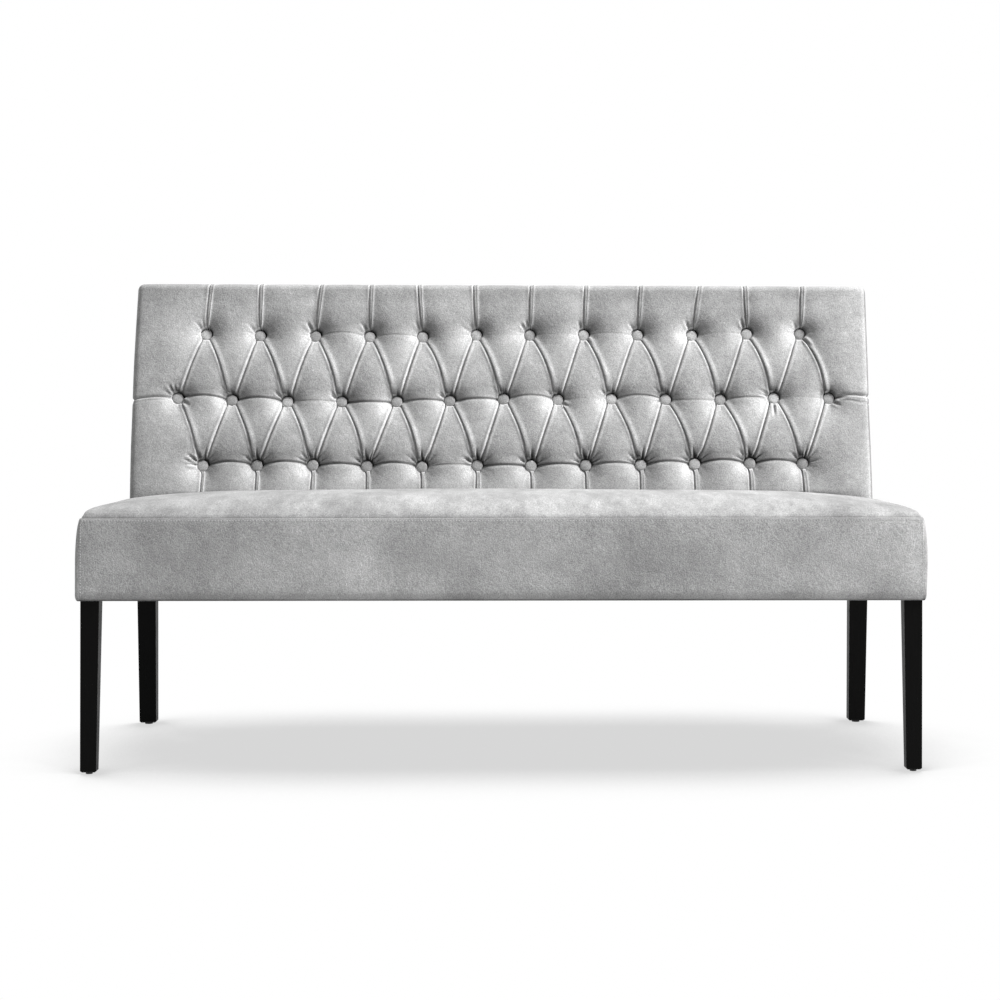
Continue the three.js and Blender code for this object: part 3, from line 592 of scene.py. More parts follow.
def pit_field(x, h):
    """Depth of the hollows at the buttons: the cloth bulges over the top of each and slopes up gently
    from its lower side. Also the small folds that run out from each, painted shade in each hollow
    and above each button, and painted light and shade round each."""
    depth = np.zeros_like(x)
    folds = np.zeros_like(x)
    painted_hollow_shade = np.zeros_like(x)
    brush_bump_and_painted_light = np.zeros_like(x)
    for row, height in enumerate(ROW_HEIGHTS):
        for place in lattice(row):
            r = np.hypot(x - place, h - height)
            near = r < 0.13
            angle = np.arctan2(h[near] - height, x[near] - place)
            r = r[near]
            up = np.sin(angle)
            dip = PILLOW_DIP * (1.04 - 0.04 * up)
            pillow = dip * np.exp(-((r / (PILLOW_REACH * (1 - 0.24 * up))) ** 1.25))
            shaded = np.cos(angle - 1.15)
            edge = BUTTON_RADIUS * (0.9 + 0.17 * shaded)
            run = np.maximum(0.0023 + 0.0034 * shaded, 0.0012)
            hollow = 1 - ease((r - edge) / run)
            # A spot of painted shade above the button, where the cloth overhangs it
            painted_shade_above = fade(np.hypot(x[near] - place - 0.001, (h[near] - height - 0.016) * 0.8), 0.0105)
            count = random.choice([11, 12, 13])
            phase = random.uniform(0, 2 * math.pi)
            if row == 0:
                where = 0.15 + 0.85 * ease((up + 0.1) / 0.6)
            else:
                where = 0.1 + 0.7 * ease(1 - abs(angle - random.uniform(1.9, 2.5)) / 0.5)
            fold = (1 - abs(np.sin(count * angle / 2 + phase))) ** 2.2
            ring = ease((r - 0.012) / 0.006) * fade(np.maximum(r - 0.018, 0), 0.013)
            folds[near] += 0.0062 * fold * ring * where
            # Painted shade in the upper right of the hollow, whose wall faces away from the lamps, and in
            # the spot above
            painted_crevice_shade = np.maximum(hollow * ease(shaded + 0.3), [1, 0.85, 0.35][row] * painted_shade_above)
            painted_hollow_shade[near] = np.maximum(painted_hollow_shade[near], painted_crevice_shade)
            depth[near] += pillow + PIT_DIP * hollow
            # Painted light and shade round the button
            for dx, dh, reach, shade in PAINTED_LIGHT_ROUND_BUTTONS[row]:
                shade = shade * random.uniform(0.6, 1.3)
                brush_bump_and_painted_light[near] += shade * fade(np.hypot(x[near] - place - dx, h[near] - height - dh), reach)
    for row, k, degrees, length in SHORT_FOLDS:
        turn = math.radians(degrees)
        dx, dh = x - lattice(row)[k], h - ROW_HEIGHTS[row]
        along = (dx * math.cos(turn) + dh * math.sin(turn) - 0.01) / (length / 1000)
        aside = dh * math.cos(turn) - dx * math.sin(turn)
        run = ease(4 * along) * ease(1.6 - 1.6 * along) * FOLD_DEPTH
        folds += run * (fade(aside, 0.0024) - 0.5 * fade(abs(aside) - 0.0052, 0.003))
    return depth, folds, painted_hollow_shade, brush_bump_and_painted_light


def rim_places(x, h):
    """Points of the smooth block under the pleats, and which way is out, as (x, h, v) each."""
    a = np.maximum(abs(x) - (BACK_HALF - RIM), 0)
    b = np.maximum(h - (BACK_LENGTH - RIM), 0)
    a, b = a * np.sqrt(1 - (b / RIM) ** 2 / 2), b * np.sqrt(1 - (a / RIM) ** 2 / 2)
    rise = np.sqrt(np.maximum(RIM**2 - a**2 - b**2, 0))
    sign = np.sign(x)
    flat_x = np.where(a > 0, sign * (BACK_HALF - RIM + a), x)
    flat_h = np.where(b > 0, BACK_LENGTH - RIM + b, h)
    base = np.stack([flat_x, flat_h, RIM - rise], axis=-1)
    out = np.stack([sign * a, b, -rise], axis=-1) / RIM
    return base, out


def painted_slope_light_and_shade(x, h, depth, folds, painted_hollow_shade):
    """Painted light and shade: lighter where the cloth leans to the right and up, towards the key lamp, and
    darker in the folds, in the hollows at the buttons and along the right edge.
    """
    across = np.gradient(depth, axis=1) / np.maximum(np.gradient(x, axis=1), 0.0002)
    up = np.gradient(depth, axis=0) / np.maximum(np.gradient(h, axis=0), 0.0002)
    weight = 0.12 + 0.48 * ease(0.5 - 2 * across)
    lean = np.clip(0.95 * across + weight * up, -0.8, 1)
    painted_crevice_shade = np.clip(1.3 * folds / PLEAT_DEPTH - 0.3, 0, 1)
    edge = ease((x - BACK_HALF + 0.006) / 0.004)
    return np.where(lean > 0, 0.62, 0.5) * lean - 0.5 * painted_crevice_shade - 0.62 * painted_hollow_shade - 0.9 * edge


def back_cushion():
    h0 = row_stations()
    lines = line_places(h0)
    x, left, right = column_stations(lines)
    h = np.broadcast_to(h0[:, None], x.shape).copy()
    pleats, shift = pleat_fields(x, h, lines, left, right)
    creases, arch = crease_fields(x, h)
    pits, folds, painted_hollow_shade, brush_bump_and_painted_light = pit_field(x, h)
    depth = pleats + creases + pits + folds + puff_field(x, h, lines, left, right)
    outer = np.clip(1 - (BACK_HALF - abs(x)) / SIDE_FALL_REACH, 0, 1)
    inner = ease((BACK_HALF - abs(x)) / 0.05) * ease((BACK_LENGTH - h) / 0.04)
    depth += 0.002 * inner
    waves = np.sin(x * 23 + 1.3) * np.cos(h * 31) + np.sin(x * 61 + 3 * np.sin(h * 17)) * 0.5
    depth += 0.0005 * waves * inner
    depth += 0.01 * ease(1 - h / 0.03) * ease((BACK_HALF - abs(x)) / 0.12)  # turns in behind the seat
    base, out = rim_places(x + shift + set_off(x, h, SET_RIGHT), h + arch + set_off(x, h, SET_UP))
    points = base - out * depth[..., None]
    points[..., 2] += SIDE_FALL * outer**2 * (1 - 0.4 * h / BACK_LENGTH)
    swell = np.where(x < 0, LEFT_SWELL, RIGHT_SWELL)
    swell = swell * (1 + 0.6 * np.sin(math.pi * np.clip(h / BACK_LENGTH, 0, 1)))
    swell = swell * np.sign(x) * ease((abs(x) - BACK_HALF + 0.07) / 0.07)
    lift = TOP_SWELL * ease((h - BACK_LENGTH + 0.05) / 0.05)
    points[..., 0] += swell
    points[..., 1] += lift
    rows, columns = x.shape
    faces = [grid_faces(rows, columns)]
    edge = np.concatenate([
        np.arange(rows) * columns,
        (rows - 1) * columns + np.arange(1, columns),
        (np.arange(rows - 2, -1, -1) + 1) * columns - 1,
    ])
    flat = points.reshape(-1, 3)
    outward = out.reshape(-1, 3)[edge]
    sunk = depth.reshape(-1)[edge]
    strips = [flat]
    corner = (outward[:, :2] != 0).all(axis=1)[:, None]
    squared = (RIM - 0.003) * (1 - abs(outward[:, :2])) * np.sign(outward[:, :2]) * corner
    steps = np.linspace(0, 1, 15)[1:]
    for t in steps:
        ring = flat[edge].copy()
        ring[:, 2] = ring[:, 2] + (RETURN_DEPTH - ring[:, 2]) * t
        ring += outward * (sunk * ease(2.6 * t))[:, None]
        ring[:, :2] += squared * ease(2.6 * t)
        ring[:, 0] -= swell.reshape(-1)[edge] * t**3
        ring[:, 1] -= lift.reshape(-1)[edge] * t**3
        strips.append(ring)
    first = np.concatenate([edge, len(flat) + np.arange(len(edge) * len(steps))])
    faces.append(first[grid_faces(len(steps) + 1, len(edge))])
    local = np.concatenate(strips)
    world = reclined(local[:, 0], local[:, 1], local[:, 2])
    world[:, 2] = np.maximum(world[:, 2], SEAM_Z + CLEAR)
    piece = make_mesh("tufted_back", world, np.concatenate(faces), VELVET)
    # Painted light and shade: slopes, folds and hollows, round each button, darker to the right and at the
    # bottom, darker on the left margin and lighter on the right one, a painted highlight along the left
    # edge, and on the turned edges painted shade on the right side and along the top
    tone_and_painted_light = painted_slope_light_and_shade(x, h, depth, pleats + creases + folds, painted_hollow_shade)
    tone_and_painted_light += brush_bump_and_painted_light - 0.05 * x / BACK_HALF - 0.08 * ease(1 - h / LOWER)
    tone_and_painted_light += np.where(x < 0, -0.3 * (1 - 0.6 * h / BACK_LENGTH), 0.3) * outer
    tone_and_painted_light += 0.2 * ease((-x - BACK_HALF + 0.006) / 0.004)
    turned = ((1 - steps) ** 2)[:, None]
    rest = -0.3 * np.maximum(outward[:, 0], 0) - 0.06 * outward[:, 1]
    returns = tone_and_painted_light.reshape(-1)[edge] * turned + rest * (1 - turned)
    set_tone_and_painted_light(piece, np.concatenate([tone_and_painted_light.ravel(), returns.ravel()]))
    finish_piece(piece, "velvet", "back_cushion")


BUTTON_SIDES = 28
# A button's rings from the middle of its face: share of its radius and share of its dome's height
BUTTON_RINGS = [
    (0.35, 1), (0.62, 0.93), (0.84, 0.76), (0.95, 0.56), (1, 0.3), (0.985, 0.05), (0.9, -0.15),
    (0.75, -0.3),
]


def covered_buttons():
    """Domed, fabric-covered buttons, each turned a little this way and that in its hollow."""
    for row, name in enumerate(["lower", "middle", "upper"]):
        points, faces, tone_and_painted_light = [], [], []
        for column, place in enumerate(lattice(row)):
            phase = random.uniform(0, 6)
            lean = Vector((random.uniform(-0.1, 0.1), random.uniform(-0.14, 0.06)))
            start = len(points)
            centre_x = place + SET_RIGHT[row][column] / 1000
            centre_h = ROW_HEIGHTS[row] + SET_UP[row][column] / 1000
            for share, height in BUTTON_RINGS:
                for k in range(BUTTON_SIDES):
                    a = 2 * math.pi * k / BUTTON_SIDES
                    gather = 1 + 0.012 * math.cos(9 * a + phase) * (height < 0.6)
                    r = BUTTON_RADIUS * share * gather
                    dx, dh = r * math.cos(a), r * math.sin(a)
                    v = BUTTON_SINK + BUTTON_DOME * (1 - height) + lean.x * dx + lean.y * dh
                    points.append((centre_x + dx, centre_h + dh, v))
            centre = len(points)
            points.append((centre_x, centre_h, BUTTON_SINK - 0.0003))
            points.append((centre_x, centre_h, BUTTON_SINK + 1.35 * BUTTON_DOME))
            tone_and_painted_light.extend([random.uniform(-0.2, 0.22)] * (len(points) - start))
            rings = ring_faces(start, len(BUTTON_RINGS), BUTTON_SIDES)
            faces.extend((a, d, c, b) for a, b, c, d in rings)
            last = centre - BUTTON_SIDES
            for k in range(BUTTON_SIDES):
                after = (k + 1) % BUTTON_SIDES
                faces.append((start + k, start + after, centre))
                faces.append((last + after, last + k, centre + 1))
        local = np.array(points)
        world = reclined(local[:, 0], local[:, 1], local[:, 2])
        piece = make_mesh("covered_buttons_" + name, world, faces, BUTTON_VELVET)
        set_tone_and_painted_light(piece, np.array(tone_and_painted_light))
        finish_piece(piece, "velvet", "button_row_" + name)


# Seat: the cover of the crown, over the foam
CROWN_RISE = 0.035
CROWN_REAR_SHARE = 0.86
FRONT_INSET = 0.005  # from the widest line of the band in to the seam
SIDE_INSET = 0.008
COVER_X = HALF_WIDTH - SIDE_INSET - 0.0006
COVER_FRONT_Y = FRONT_Y + FRONT_INSET + 0.0006
COVER_THICKNESS = 0.0045
CORNER_WRINKLES = [(-0.68, 0.07, 0.0016, 0.03), (-0.72, 0.04, 0.001, -0.12), (0.7, 0.05, 0.0012, -0.04)]
PANEL_THICKNESS = 0.005
# The cover's rear edge goes down behind the foam: share of its height left, and how far in
REAR_TUCK = [
    (0.93, 0.0024), (0.82, 0.0032), (0.61, 0.0058), (0.44, 0.0082), (0.23, 0.0105), (0.06, 0.0132),
    (0.008, 0.02),
]


# Patches of the seat's cover that are lighter towards the rear: place, reach and how much
SEAT_PATCHES = [(-0.35, 0.13, 0.17), (0.2, 0.05, 0.14), (0.6, 0.06, 0.2)]


def seam_drop(x):
    """How far the seat's seam hangs below its true height."""
    return 0.0018 - 0.0012 * x / HALF_WIDTH


SETTLE_CAP = 0.0035  # how far the simulation may move a point of the cover
SETTLE_FRAMES = 20


def settled(points, pinned, growth, pressure):
    """How far each point of a grid of points moves when the sheet through them, cut a little too large,
    is pressed out from below and its pinned points stay: a cloth simulation."""
    rows, columns = points.shape[:2]
    sheet = make_mesh("sheet_to_settle", points, grid_faces(rows, columns), SEAT_VELVET)
    group = sheet.vertex_groups.new(name="pinned")
    group.add(np.flatnonzero(pinned).tolist(), 1.0, "REPLACE")
    cloth = sheet.modifiers.new("settle", "CLOTH").settings
    cloth.quality = 6
    cloth.mass = 0.3
    cloth.tension_stiffness = cloth.compression_stiffness = 12
    cloth.shear_stiffness = 4
    cloth.bending_stiffness = 0.4
    cloth.air_damping = 3
    cloth.use_pressure = True
    cloth.uniform_pressure_force = pressure
    cloth.shrink_min = -growth
    cloth.vertex_group_mass = "pinned"
    cloth.effector_weights.gravity = 0
    for number in range(1, SETTLE_FRAMES + 1):
        bpy.context.scene.frame_set(number)
    result = sheet.evaluated_get(bpy.context.evaluated_depsgraph_get()).data
    places = np.empty(rows * columns * 3)
    result.vertices.foreach_get("co", places)
    bpy.context.scene.frame_set(1)
    mesh = sheet.data
    bpy.data.objects.remove(sheet)
    bpy.data.meshes.remove(mesh)
    moved = places.reshape(points.shape) - points
    size = np.linalg.norm(moved, axis=-1, keepdims=True)
    moved *= np.tanh(size / SETTLE_CAP) * SETTLE_CAP / np.maximum(size, 1e-9)
    return moved


def refined(field):
    """A field on a grid, on the grid with twice as many steps both ways."""
    for _ in range(2):
        full = np.zeros((2 * field.shape[0] - 1,) + field.shape[1:])
        full[::2] = field
        inner = field[1:-1]
        full[1::2] = (field[:-1] + field[1:]) / 2
        full[2:-2:2] = 0.75 * inner + 0.125 * (field[:-2] + field[2:])
        field = full.swapaxes(0, 1)
    return field


def crown(x, y, half, front_y, rise, side_power, side_share, front_share=0.42):
    across = 1 - np.minimum(abs(x / half), 1) ** side_power
    t = (y - front_y) / (BACK_Y - front_y)
    along = np.maximum(1 - abs(2 * CROWN_REAR_SHARE * t - 1) ** 3, 0)
    return rise * across**side_share * along**front_share


def seat_cover():
    s = np.linspace(-1, 1, 241)
    t = np.linspace(0, 1, 91)
    xs = COVER_X * (1.5 * s - 0.5 * s**3)
    ys = COVER_FRONT_Y + (BACK_Y + 0.0015 - COVER_FRONT_Y) * (t + 0.3 * t * (t - 1))
    x, y = np.meshgrid(xs, ys)
    to_end = COVER_X - abs(x)
    share = 0.53 - 0.21 * fade(to_end, 0.05)
    rise = crown(x, y, COVER_X, COVER_FRONT_Y, CROWN_RISE, 2.8, 0.28, share)
    for place, reach, depth, turn in CORNER_WRINKLES:
        along = x - place
        near = fade(along, reach) * fade(y - COVER_FRONT_Y - 0.016 - turn * along, 0.0035)
        rise -= depth * near
    rise += 0.0009 * np.sin(x * 9 + 2) * np.sin(y * 15) * ease(rise / 0.02)
    full = ease(to_end / 0.004) * fade(np.maximum(to_end - 0.005, 0), 0.01)
    rise += 0.003 * full * ease((y - COVER_FRONT_Y) / 0.015)
    z = SEAM_Z + rise - seam_drop(x) * (1 - ease(rise / 0.012))
    lean = math.tan(RECLINE) * rise * ease((t[:, None] - 0.8) / 0.2)
    top = np.stack([x, y + lean, z], axis=-1)
    coarse = top[::2, ::2]
    pinned = np.ones(coarse.shape[:2], dtype=bool)
    pinned[1:-1, 1:-1] = False
    top += refined(settled(coarse, pinned, 0.012, 4)) * (0.1 + 0.9 * ease((to_end - 0.03) / 0.2))[..., None]
    panel = crown(x, y, PANEL_X, PANEL_FRONT_Y, 0.036, 8, 0.42)
    foam_top = SEAM_Z + panel - PANEL_THICKNESS
    z = top[..., 2]
    over = np.maximum(foam_top + 0.0018 - z, 0) * ease((COVER_X - abs(x)) / 0.01)
    z += over
    thick = COVER_THICKNESS * (1 - 0.8 * ease((t[:, None] - 0.93) / 0.07))
    low = top.copy()
    low[..., 2] = np.minimum(np.maximum(z - thick, foam_top), z - 0.001)
    for share, v in REAR_TUCK:
        height = top[len(y) - 1, :, 2] - SEAM_Z
        row = reclined(xs, (share * height + v * math.sin(RECLINE)) / math.cos(RECLINE), v)
        top = np.concatenate([top, row[None]])
        low = np.concatenate([low, row[None] - (0, 0.0012, 0.0008)])
    piece = make_mesh("seat_cover", *two_layers(top, low), SEAT_VELVET)
    # Painted shade where the cover goes down behind the foam and along its seam and ends, darker towards
    # the front edge and more so on the left, and lighter patches towards the rear
    tone_and_painted_light = np.full(top.shape[:2], -0.35)
    from_front = y - COVER_FRONT_Y
    tone_and_painted_light[: len(y)] = 0.03 - 0.08 * fade(np.minimum(to_end, from_front), 0.0016)
    tone_and_painted_light[: len(y)] -= 0.13 * fade(from_front, 0.037) + 0.14 * fade(from_front, 0.03) * ease(-(x + 0.5) / 0.2)
    for place, reach, shade in SEAT_PATCHES:
        tone_and_painted_light[: len(y)] += shade * fade(x - place, reach) * ease((from_front - 0.02) / 0.1)
    set_tone_and_painted_light(piece, tone_and_painted_light)
    finish_piece(piece, "velvet", "seat_top_panel")


# Seat band: one strip round the sides and the front, full at the sides and turned in to the seam
FRONT_SWELL = 0.0012
SIDE_BAND_SWELL = 0.0034
HEM_TURN = (0.008, 0.018)  # how far the band's front turns under at the hem, and over what height
SIDE_HEM_TURN = (0.005, 0.011)
SEAM_TURN = 0.009
HEM_DROP = 0.0013
BAND_THICKNESS = 0.0065
CORNER_RADIUS = 0.007
# Patches of the band that are lighter or darker, those by the left corner painted light on cloth bulging
# over the leg: along, above the hem, reach and how much
BAND_PATCHES = [
    (-0.775, 0.016, 0.02, 0.16), (-0.73, 0.024, 0.02, 0.08), (-0.72, 0.07, 0.03, 0.06),
    (-0.69, 0.105, 0.05, -0.05), (0.735, 0.125, 0.024, -0.12), (0.72, 0.02, 0.03, -0.07),
    (0.782, 0.05, 0.03, 0.08), (-0.28, 0.08, 0.13, 0.2), (0.3, 0.06, 0.11, -0.19), (0.45, 0.11, 0.04, 0.05),
]
CORNER_SEAM_X = HALF_WIDTH - 0.0055
CORNER_SEAM_DEPTH = 0.0003


def arc(t):
    """0 at t = 0 and 1 at t = 1, as a quarter circle that ends upright."""
    return 1 - np.sqrt(1 - np.clip(t, 0, 1) ** 2)


def band_insets(z, out_x):
    """How far the band lies inside the frame's outline at height z, where out_x runs from 0 at the
    front to 1 at the right end and -1 at the left."""
    side = abs(out_x)
    height = SEAM_Z - HEM_Z
    t = (z - HEM_Z) / height
    belly = np.sin(math.pi * np.clip(t, 0, 1)) ** 0.7
    front = FRONT_INSET * arc((z - SEAM_Z + SEAM_TURN) / SEAM_TURN) - FRONT_SWELL * belly
    front = front + HEM_TURN[0] * arc(1 - (z - HEM_Z) / HEM_TURN[1])
    end = (SIDE_INSET + SIDE_BAND_SWELL) * arc((t - 0.42) / 0.58) - SIDE_BAND_SWELL
    end = end + SIDE_HEM_TURN[0] * arc(1 - (z - HEM_Z) / SIDE_HEM_TURN[1])
    end = end + 0.002 * ease(1 - t / 0.5) * (out_x > 0)
    return front * (1 - side) + end * side


def band_path():
    """Points round the seat with the way out of each, left rear to right rear."""
    half, r = HALF_WIDTH, CORNER_RADIUS
    corner_y = FRONT_Y + r
    turn = [(math.cos(a), math.sin(a)) for a in np.linspace(0, math.pi / 2, 13)[:-1]]
    path = [(-half, y, -1, 0) for y in np.linspace(BAND_REAR_Y, corner_y, 60)[:-1]]
    path += [(-half + r - r * c, corner_y - r * s, -c, -s) for c, s in turn]
    path += [((half - r) * (1.3 * u - 0.3 * u**3), FRONT_Y, 0, -1) for u in np.linspace(-1, 1, 301)[:-1]]
    path += [(half - r + r * s, corner_y - r * c, s, -c) for c, s in turn]
    path += [(half, y, 1, 0) for y in np.linspace(corner_y, BAND_REAR_Y, 60)]
    return np.array(path)


def corner_seam(x, y):
    """Depth of the upright seams near the front corners."""
    front = y < FRONT_Y + 0.001
    return CORNER_SEAM_DEPTH * fade(abs(x) - CORNER_SEAM_X, 0.0014) * front


def on_band(path, z, sunk=0):
    """Points of the band's outside at the height z, for points of the path."""
    inset = band_insets(z, path[:, 2]) + corner_seam(path[:, 0], path[:, 1]) + sunk
    x, y = path[:, 0] - path[:, 2] * inset, path[:, 1] - path[:, 3] * inset
    drop = seam_drop(x) * ease((z - SEAM_Z + 0.03) / 0.03) + HEM_DROP * ease((HEM_Z + 0.03 - z) / 0.03)
    return np.stack([x, y, z - drop], axis=-1)


def seat_band():
    path = band_path()
    low = HEM_Z + HEM_TURN[1] * (1 - np.cos(np.linspace(0.05, math.pi / 2, 12)))
    middle = np.linspace(low[-1], SEAM_Z - SEAM_TURN, 26)[1:]
    high = SEAM_Z - SEAM_TURN + (SEAM_TURN - 0.0002) * np.sin(np.linspace(0, math.pi / 2, 12))[1:]
    levels = np.concatenate([low, middle, high])
    rows = [on_band(path, z) for z in levels]
    for sunk, drop in [(0.0008, 0.0012), (0.0009, 0.0045)]:
        rows.append(on_band(path, SEAM_Z, sunk) - (0, 0, drop))
    for z in (SEAM_Z - 0.02, HEM_Z + 0.003):
        back = path[:, :2] - path[:, 2:] * BAND_THICKNESS
        rows.append(np.column_stack([back, np.full(len(path), z)]))
    rows.append(rows[0])
    points = np.array(rows)
    section = np.arange(len(rows) - 1) * len(path)
    faces = grid_faces(len(rows), len(path)).tolist() + [section[::-1], section + len(path) - 1]
    piece = make_mesh("seat_band", points, faces, VELVET)
    x, above = points[..., 0], points[..., 2]
    to_seam = SEAM_Z - seam_drop(x) - above
    # Painted shade where the band turns in under the seat's cover and turns under at the hem, darker at the
    # corner seams, painted light growing to the right, where the key lamp stands, some patches, and on the
    # band's ends painted shade on the right and painted light on the left
    tone_and_painted_light = -(0.29 + 0.07 * x / HALF_WIDTH) * ease((0.008 - to_seam) / 0.004)
    tone_and_painted_light -= 0.22 * fade(above - HEM_Z, 0.016) + 0.66 * fade(above - HEM_Z + HEM_DROP, 0.0035)
    tone_and_painted_light -= 0.05 * corner_seam(path[:, 0], path[:, 1])[None, :] / CORNER_SEAM_DEPTH
    tone_and_painted_light += 0.06 * x / HALF_WIDTH + 0.1 * ease((x - 0.7) / 0.09)
    for place, height, reach, shade in BAND_PATCHES:
        tone_and_painted_light += shade * fade(np.hypot(x - place, above - HEM_Z - height), reach)
    tone_and_painted_light += np.where(path[:, 2] > 0, -0.55, 0.3) * ease(abs(path[:, 2]))
    set_tone_and_painted_light(piece, tone_and_painted_light)
    finish_piece(piece, "velvet", "seat_border_front", "seat_border_right", "seat_border_left")


# Outside back
PANEL_PUFF = 0.0012


def outside_back():
    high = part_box("outside_back")[1]
    rise = np.concatenate([
        np.linspace(HEM_Z + 0.001, SEAM_Z - 0.006, 24),
        SEAM_Z + np.array([-0.003, 0, 0.003]),
        np.linspace(SEAM_Z + 0.006, high.z - 0.0006, 70),
    ])
    across = np.linspace(-1, 1, 201)
    xs = BACK_HALF * (1.35 * across - 0.35 * across**3)
    x, z = np.meshgrid(xs, rise)
    wall = BAND_REAR_Y + 2 * CLEAR
    slope = np.maximum(z - SEAM_Z, 0) * math.tan(RECLINE)
    soft = ease((BACK_HALF - abs(x)) / 0.03) * ease((high.z - z) / 0.03) * ease((z - HEM_Z) / 0.02)
    ripple = 1 + 0.35 * np.sin(x * 13 + 1) * np.sin(z * 11)
    y = wall + slope + 0.0004 + PANEL_PUFF * soft * ripple
    outer = np.stack([x, y, z], axis=-1)
    inner = np.stack([x, wall + slope, z], axis=-1)
    points, faces = two_layers(outer, inner)
    piece = make_mesh("outside_back_cover", points, faces[:, ::-1], VELVET)
    finish_piece(piece, "velvet", "outside_back")


# Legs
EASED_EDGE = 0.0016


def legs():
    for node in ("leg_front_left", "leg_front_right", "leg_rear_left", "leg_rear_right"):
        piece = bpy.data.objects.new("lacquered_" + node, frame["nodes"][node].data.copy())
        bpy.context.scene.collection.objects.link(piece)
        piece.data.materials.clear()
        piece.data.materials.append(LACQUER)
        piece.data.shade_smooth()
        bevel = piece.modifiers.new("eased_edges", "BEVEL")
        bevel.width = EASED_EDGE
        bevel.segments = 3
        bevel.limit_method = "ANGLE"
        bevel.angle_limit = math.radians(30)
        bevel.harden_normals = True
        finish_piece(piece, "lacquered_wood", node)


# Stitches along the seat's top edge and down its corner seams
STITCH_PITCH = 0.0055
STITCH_LENGTH = 0.0027
STITCH_RADIUS = 0.0008
STITCH_DROP = 0.0052
STITCH_SIDES = 6
# A stitch's rings: place along it, as a share of its length, and share of its radius
STITCH_RINGS = [(-0.5, 0.3), (-0.3, 0.95), (0, 1.1), (0.3, 0.95), (0.5, 0.3)]


def at_run(run, table, middle):
    """The row of a table of vectors at one distance along its line."""
    return np.array([np.interp(middle, run, table[:, k]) for k in range(3)])


def stitch_line(places, out, pitch, length, radius):
    """Closed little stitches along a line of points, each with its way out."""
    run = np.concatenate([[0], np.cumsum(np.linalg.norm(np.diff(places, axis=0), axis=1))])
    points, faces = [], []
    for middle in np.arange(pitch, run[-1], pitch):
        start = len(points)
        ends = [at_run(run, places, middle + step) for step in (-0.002, 0.002)]
        way = (ends[1] - ends[0]) / np.linalg.norm(ends[1] - ends[0])
        lift = at_run(run, out, middle)
        across = np.cross(way, lift)
        for along, thick in STITCH_RINGS:
            centre = (ends[0] + ends[1]) / 2 + way * along * length
            for k in range(STITCH_SIDES):
                a = 2 * math.pi * k / STITCH_SIDES
                points.append(centre + radius * thick * (lift * math.cos(a) + across * math.sin(a)))
        faces += ring_faces(start, len(STITCH_RINGS), STITCH_SIDES)
        faces.append(tuple(reversed(range(start, start + STITCH_SIDES))))
        faces.append(tuple(range(len(points) - STITCH_SIDES, len(points))))
    return points, faces


def stitches():
    path = band_path()
    line = on_band(path, SEAM_Z - STITCH_DROP)
    out = np.column_stack([path[:, 2:], np.zeros(len(path))])
    sizes = (STITCH_PITCH, STITCH_LENGTH, STITCH_RADIUS)
    piece = make_mesh("top_stitching", *stitch_line(line, out, *sizes), THREAD)
    finish_piece(piece, "velvet")
    for name, side in (("left", -1), ("right", 1)):
        heights = np.linspace(HEM_Z + 0.006, SEAM_Z - 0.009, 40)
        spot = np.array([[side * (CORNER_SEAM_X - 0.0024), FRONT_Y, 0, -1]])
        line = np.array([on_band(spot, z)[0] for z in heights])
        out = np.tile([0.0, -1.0, 0.0], (len(heights), 1))
        piece = make_mesh("corner_stitching_" + name, *stitch_line(line, out, *sizes), THREAD)
        finish_piece(piece, "velvet")


# Dust cover under the seat, stapled to the rails
DUST_SAG = 0.0016
STAPLE_INSET = 0.009
STAPLE_START = 0.02  # from the corner of the lining to its first staple's place
STAPLE_PITCH = 0.052
STAPLE_LENGTH = 0.011
STAPLE_RADIUS = 0.0006


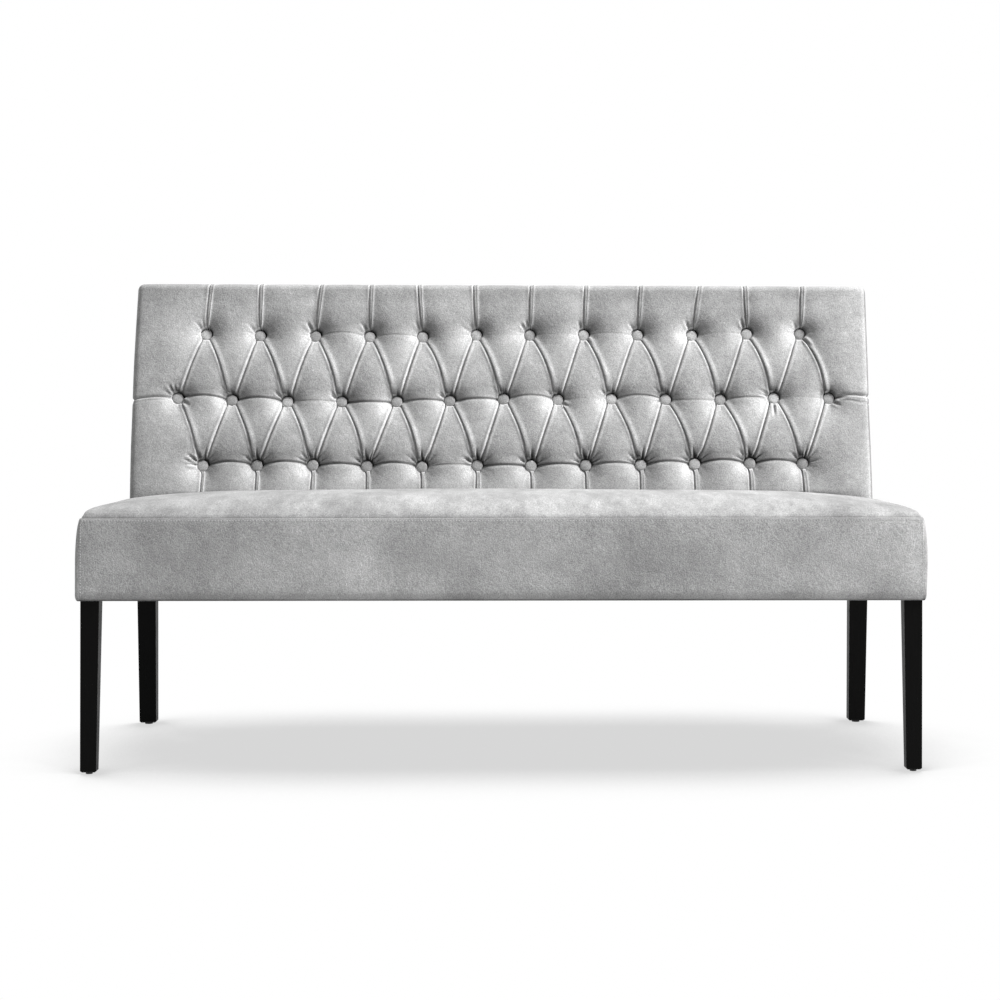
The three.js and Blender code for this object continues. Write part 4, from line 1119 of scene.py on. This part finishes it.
def dust_cover():
    low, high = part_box("dust_cover")
    wide = {}
    for vertex in frame["nodes"]["dust_cover"].data.vertices:
        wide.setdefault(round(vertex.co.y, 5), []).append(round(abs(vertex.co.x), 5))
    front, notch_front, notch_rear, rear = sorted(wide)
    half, half_front, half_rear = high.x, min(wide[front]), min(wide[rear])
    notches = [-half_front, half_front, -half, half]
    xs = np.unique(np.concatenate([np.linspace(-half_rear, half_rear, 121), notches]))
    ys = np.concatenate([[front], np.linspace(notch_front, notch_rear, 41), [rear]])
    x, y = np.meshgrid(xs, ys)
    from_edge = np.minimum(half - abs(x), np.minimum(y - front, rear - y))
    taut = 1 + 0.4 * np.sin(x * 11 + 1) * np.sin(y * 17)
    bottom = low.z + 0.0006 - DUST_SAG * ease((from_edge - 0.03) / 0.16) * taut
    bottom -= 0.0005 * (from_edge < 0.014)
    rows, columns = x.shape
    inside = []
    for i in range(rows - 1):
        widest = half_front if i == 0 else half_rear if i == rows - 2 else half
        inside += [abs(xs[k] + xs[k + 1]) / 2 < widest for k in range(columns - 1)]
    faces = grid_faces(rows, columns)[np.array(inside)]
    points = np.stack([x, y, bottom], axis=-1)
    piece = make_mesh("dust_cover_lining", points, faces, LINING)
    area = half * (notch_rear - notch_front)
    area += half_front * (notch_front - front) + half_rear * (rear - notch_rear)
    finish_piece(piece, "lining", "dust_cover")
    area = 2 * area  # so far one half
    points, faces = [], []
    x, z = half - STAPLE_INSET, low.z - 0.0003
    near, far = front + STAPLE_INSET, rear - STAPLE_INSET
    short, long = half_front - STAPLE_START, half_rear - STAPLE_START
    first, last = notch_front + STAPLE_START, notch_rear - STAPLE_START
    down = np.tile([0.0, 0.0, -1.0], (2, 1))
    for start, end in (
        ((-short, near), (short, near)), ((-long, far), (long, far)),
        ((-x, first), (-x, last)), ((x, first), (x, last)),
    ):
        line = np.array([(*start, z), (*end, z)])
        more, more_faces = stitch_line(line, down, STAPLE_PITCH, STAPLE_LENGTH, STAPLE_RADIUS)
        faces += [tuple(k + len(points) for k in face) for face in more_faces]
        points += more
    finish_piece(make_mesh("dust_cover_staples", points, faces, FINISHES["steel"]), "steel")


def cad_finishes():
    for part in frame["record"]["subparts"]:
        target = frame["nodes"][part["node"]]
        target.data.materials.clear()
        target.data.materials.append(FINISHES[part["material_slot"]])


back_cushion()
covered_buttons()
seat_cover()
seat_band()
outside_back()
legs()
stitches()
dust_cover()
cad_finishes()


# Floor and light
FLOOR_HALF = 40
WORLD_LIGHT = 0.14
SHADE_REACH = 0.6  # what stands closer than this to a point of the floor shades it
SHADED_FLOOR = 0.68
SHADE_FULL, SHADE_NONE = 0.58, 0.84  # shares of open space round a point where the shade is full and gone
FLOOR_COLOR = 0.65
# Lamps: azimuth, elevation, distance, size and power
LAMPS = {"key": (73, 45, 8, 1.6, 1040), "overhead": (10, 80, 6, 2.5, 150), "behind": (184, 10, 7, 2.5, 300)}


def seen_or_lit(tree, seen, lit, output):
    """One shader for camera, mirrored and glass rays, and another for all the light that falls."""
    way = add_node(tree, "ShaderNodeLightPath")
    total = way.outputs["Is Camera Ray"]
    for ray in ("Is Glossy Ray", "Is Transmission Ray"):
        links = {0: total, 1: way.outputs[ray]}
        total = add_node(tree, "ShaderNodeMath", links, operation="MAXIMUM").outputs[0]
    mix = add_node(tree, "ShaderNodeMixShader", {0: total, 1: lit.outputs[0], 2: seen.outputs[0]})
    add_node(tree, output, {"Surface": mix.outputs[0]})


def floor_material():
    """Glows white to the camera, down to a light grey under the bench: a painted shadow that follows how
    much of the open space round each point the bench takes up.
    """
    material = bpy.data.materials.new("studio_floor")
    material.use_nodes = True
    tree = material.node_tree
    tree.nodes.clear()
    lit = add_node(tree, "ShaderNodeBsdfDiffuse", {"Color": grey(FLOOR_COLOR)})
    cover = add_node(tree, "ShaderNodeAmbientOcclusion", {"Distance": SHADE_REACH}, samples=32)
    links = {0: cover.outputs["AO"], 1: SHADE_FULL, 2: SHADE_NONE, 3: SHADED_FLOOR, 4: 1}
    level = add_node(tree, "ShaderNodeMapRange", links, interpolation_type="SMOOTHSTEP")
    seen = add_node(tree, "ShaderNodeEmission", {"Strength": level.outputs[0]})
    seen_or_lit(tree, seen, lit, "ShaderNodeOutputMaterial")
    return material


def make_stage():
    corners = [(-1, -1), (1, -1), (1, 1), (-1, 1)]
    points = [(FLOOR_HALF * a, FLOOR_HALF * b, 0) for a, b in corners]
    floor = make_mesh("studio_floor", points, [(0, 1, 2, 3)], floor_material(), smooth=False)
    world = bpy.data.worlds.new("studio")
    bpy.context.scene.world = world
    world.use_nodes = True
    tree = world.node_tree
    tree.nodes.clear()
    seen, lit = (
        add_node(tree, "ShaderNodeBackground", {"Color": grey(1), "Strength": strength})
        for strength in (1, WORLD_LIGHT)
    )
    seen_or_lit(tree, seen, lit, "ShaderNodeOutputWorld")
    for name, values in LAMPS.items():
        lamp(name, *values)
    bpy.context.scene.view_settings.view_transform = "Standard"


def lamp(name, azimuth, elevation, distance, size, power):
    """A round softbox aimed at the seat. Azimuth 0 is in front of the bench and 90 on its right."""
    data = bpy.data.lights.new(name, "AREA")
    data.shape = "DISK"
    data.size = size
    data.energy = power
    light = bpy.data.objects.new(name, data)
    a, e = math.radians(azimuth), math.radians(elevation)
    towards = Vector((math.sin(a) * math.cos(e), -math.cos(a) * math.cos(e), math.sin(e)))
    light.location = Vector((0, 0, SEAM_Z)) + distance * towards
    light.rotation_euler = (-towards).to_track_quat("-Z", "Y").to_euler()
    bpy.context.scene.collection.objects.link(light)


make_stage()
bpy.context.view_layer.update()
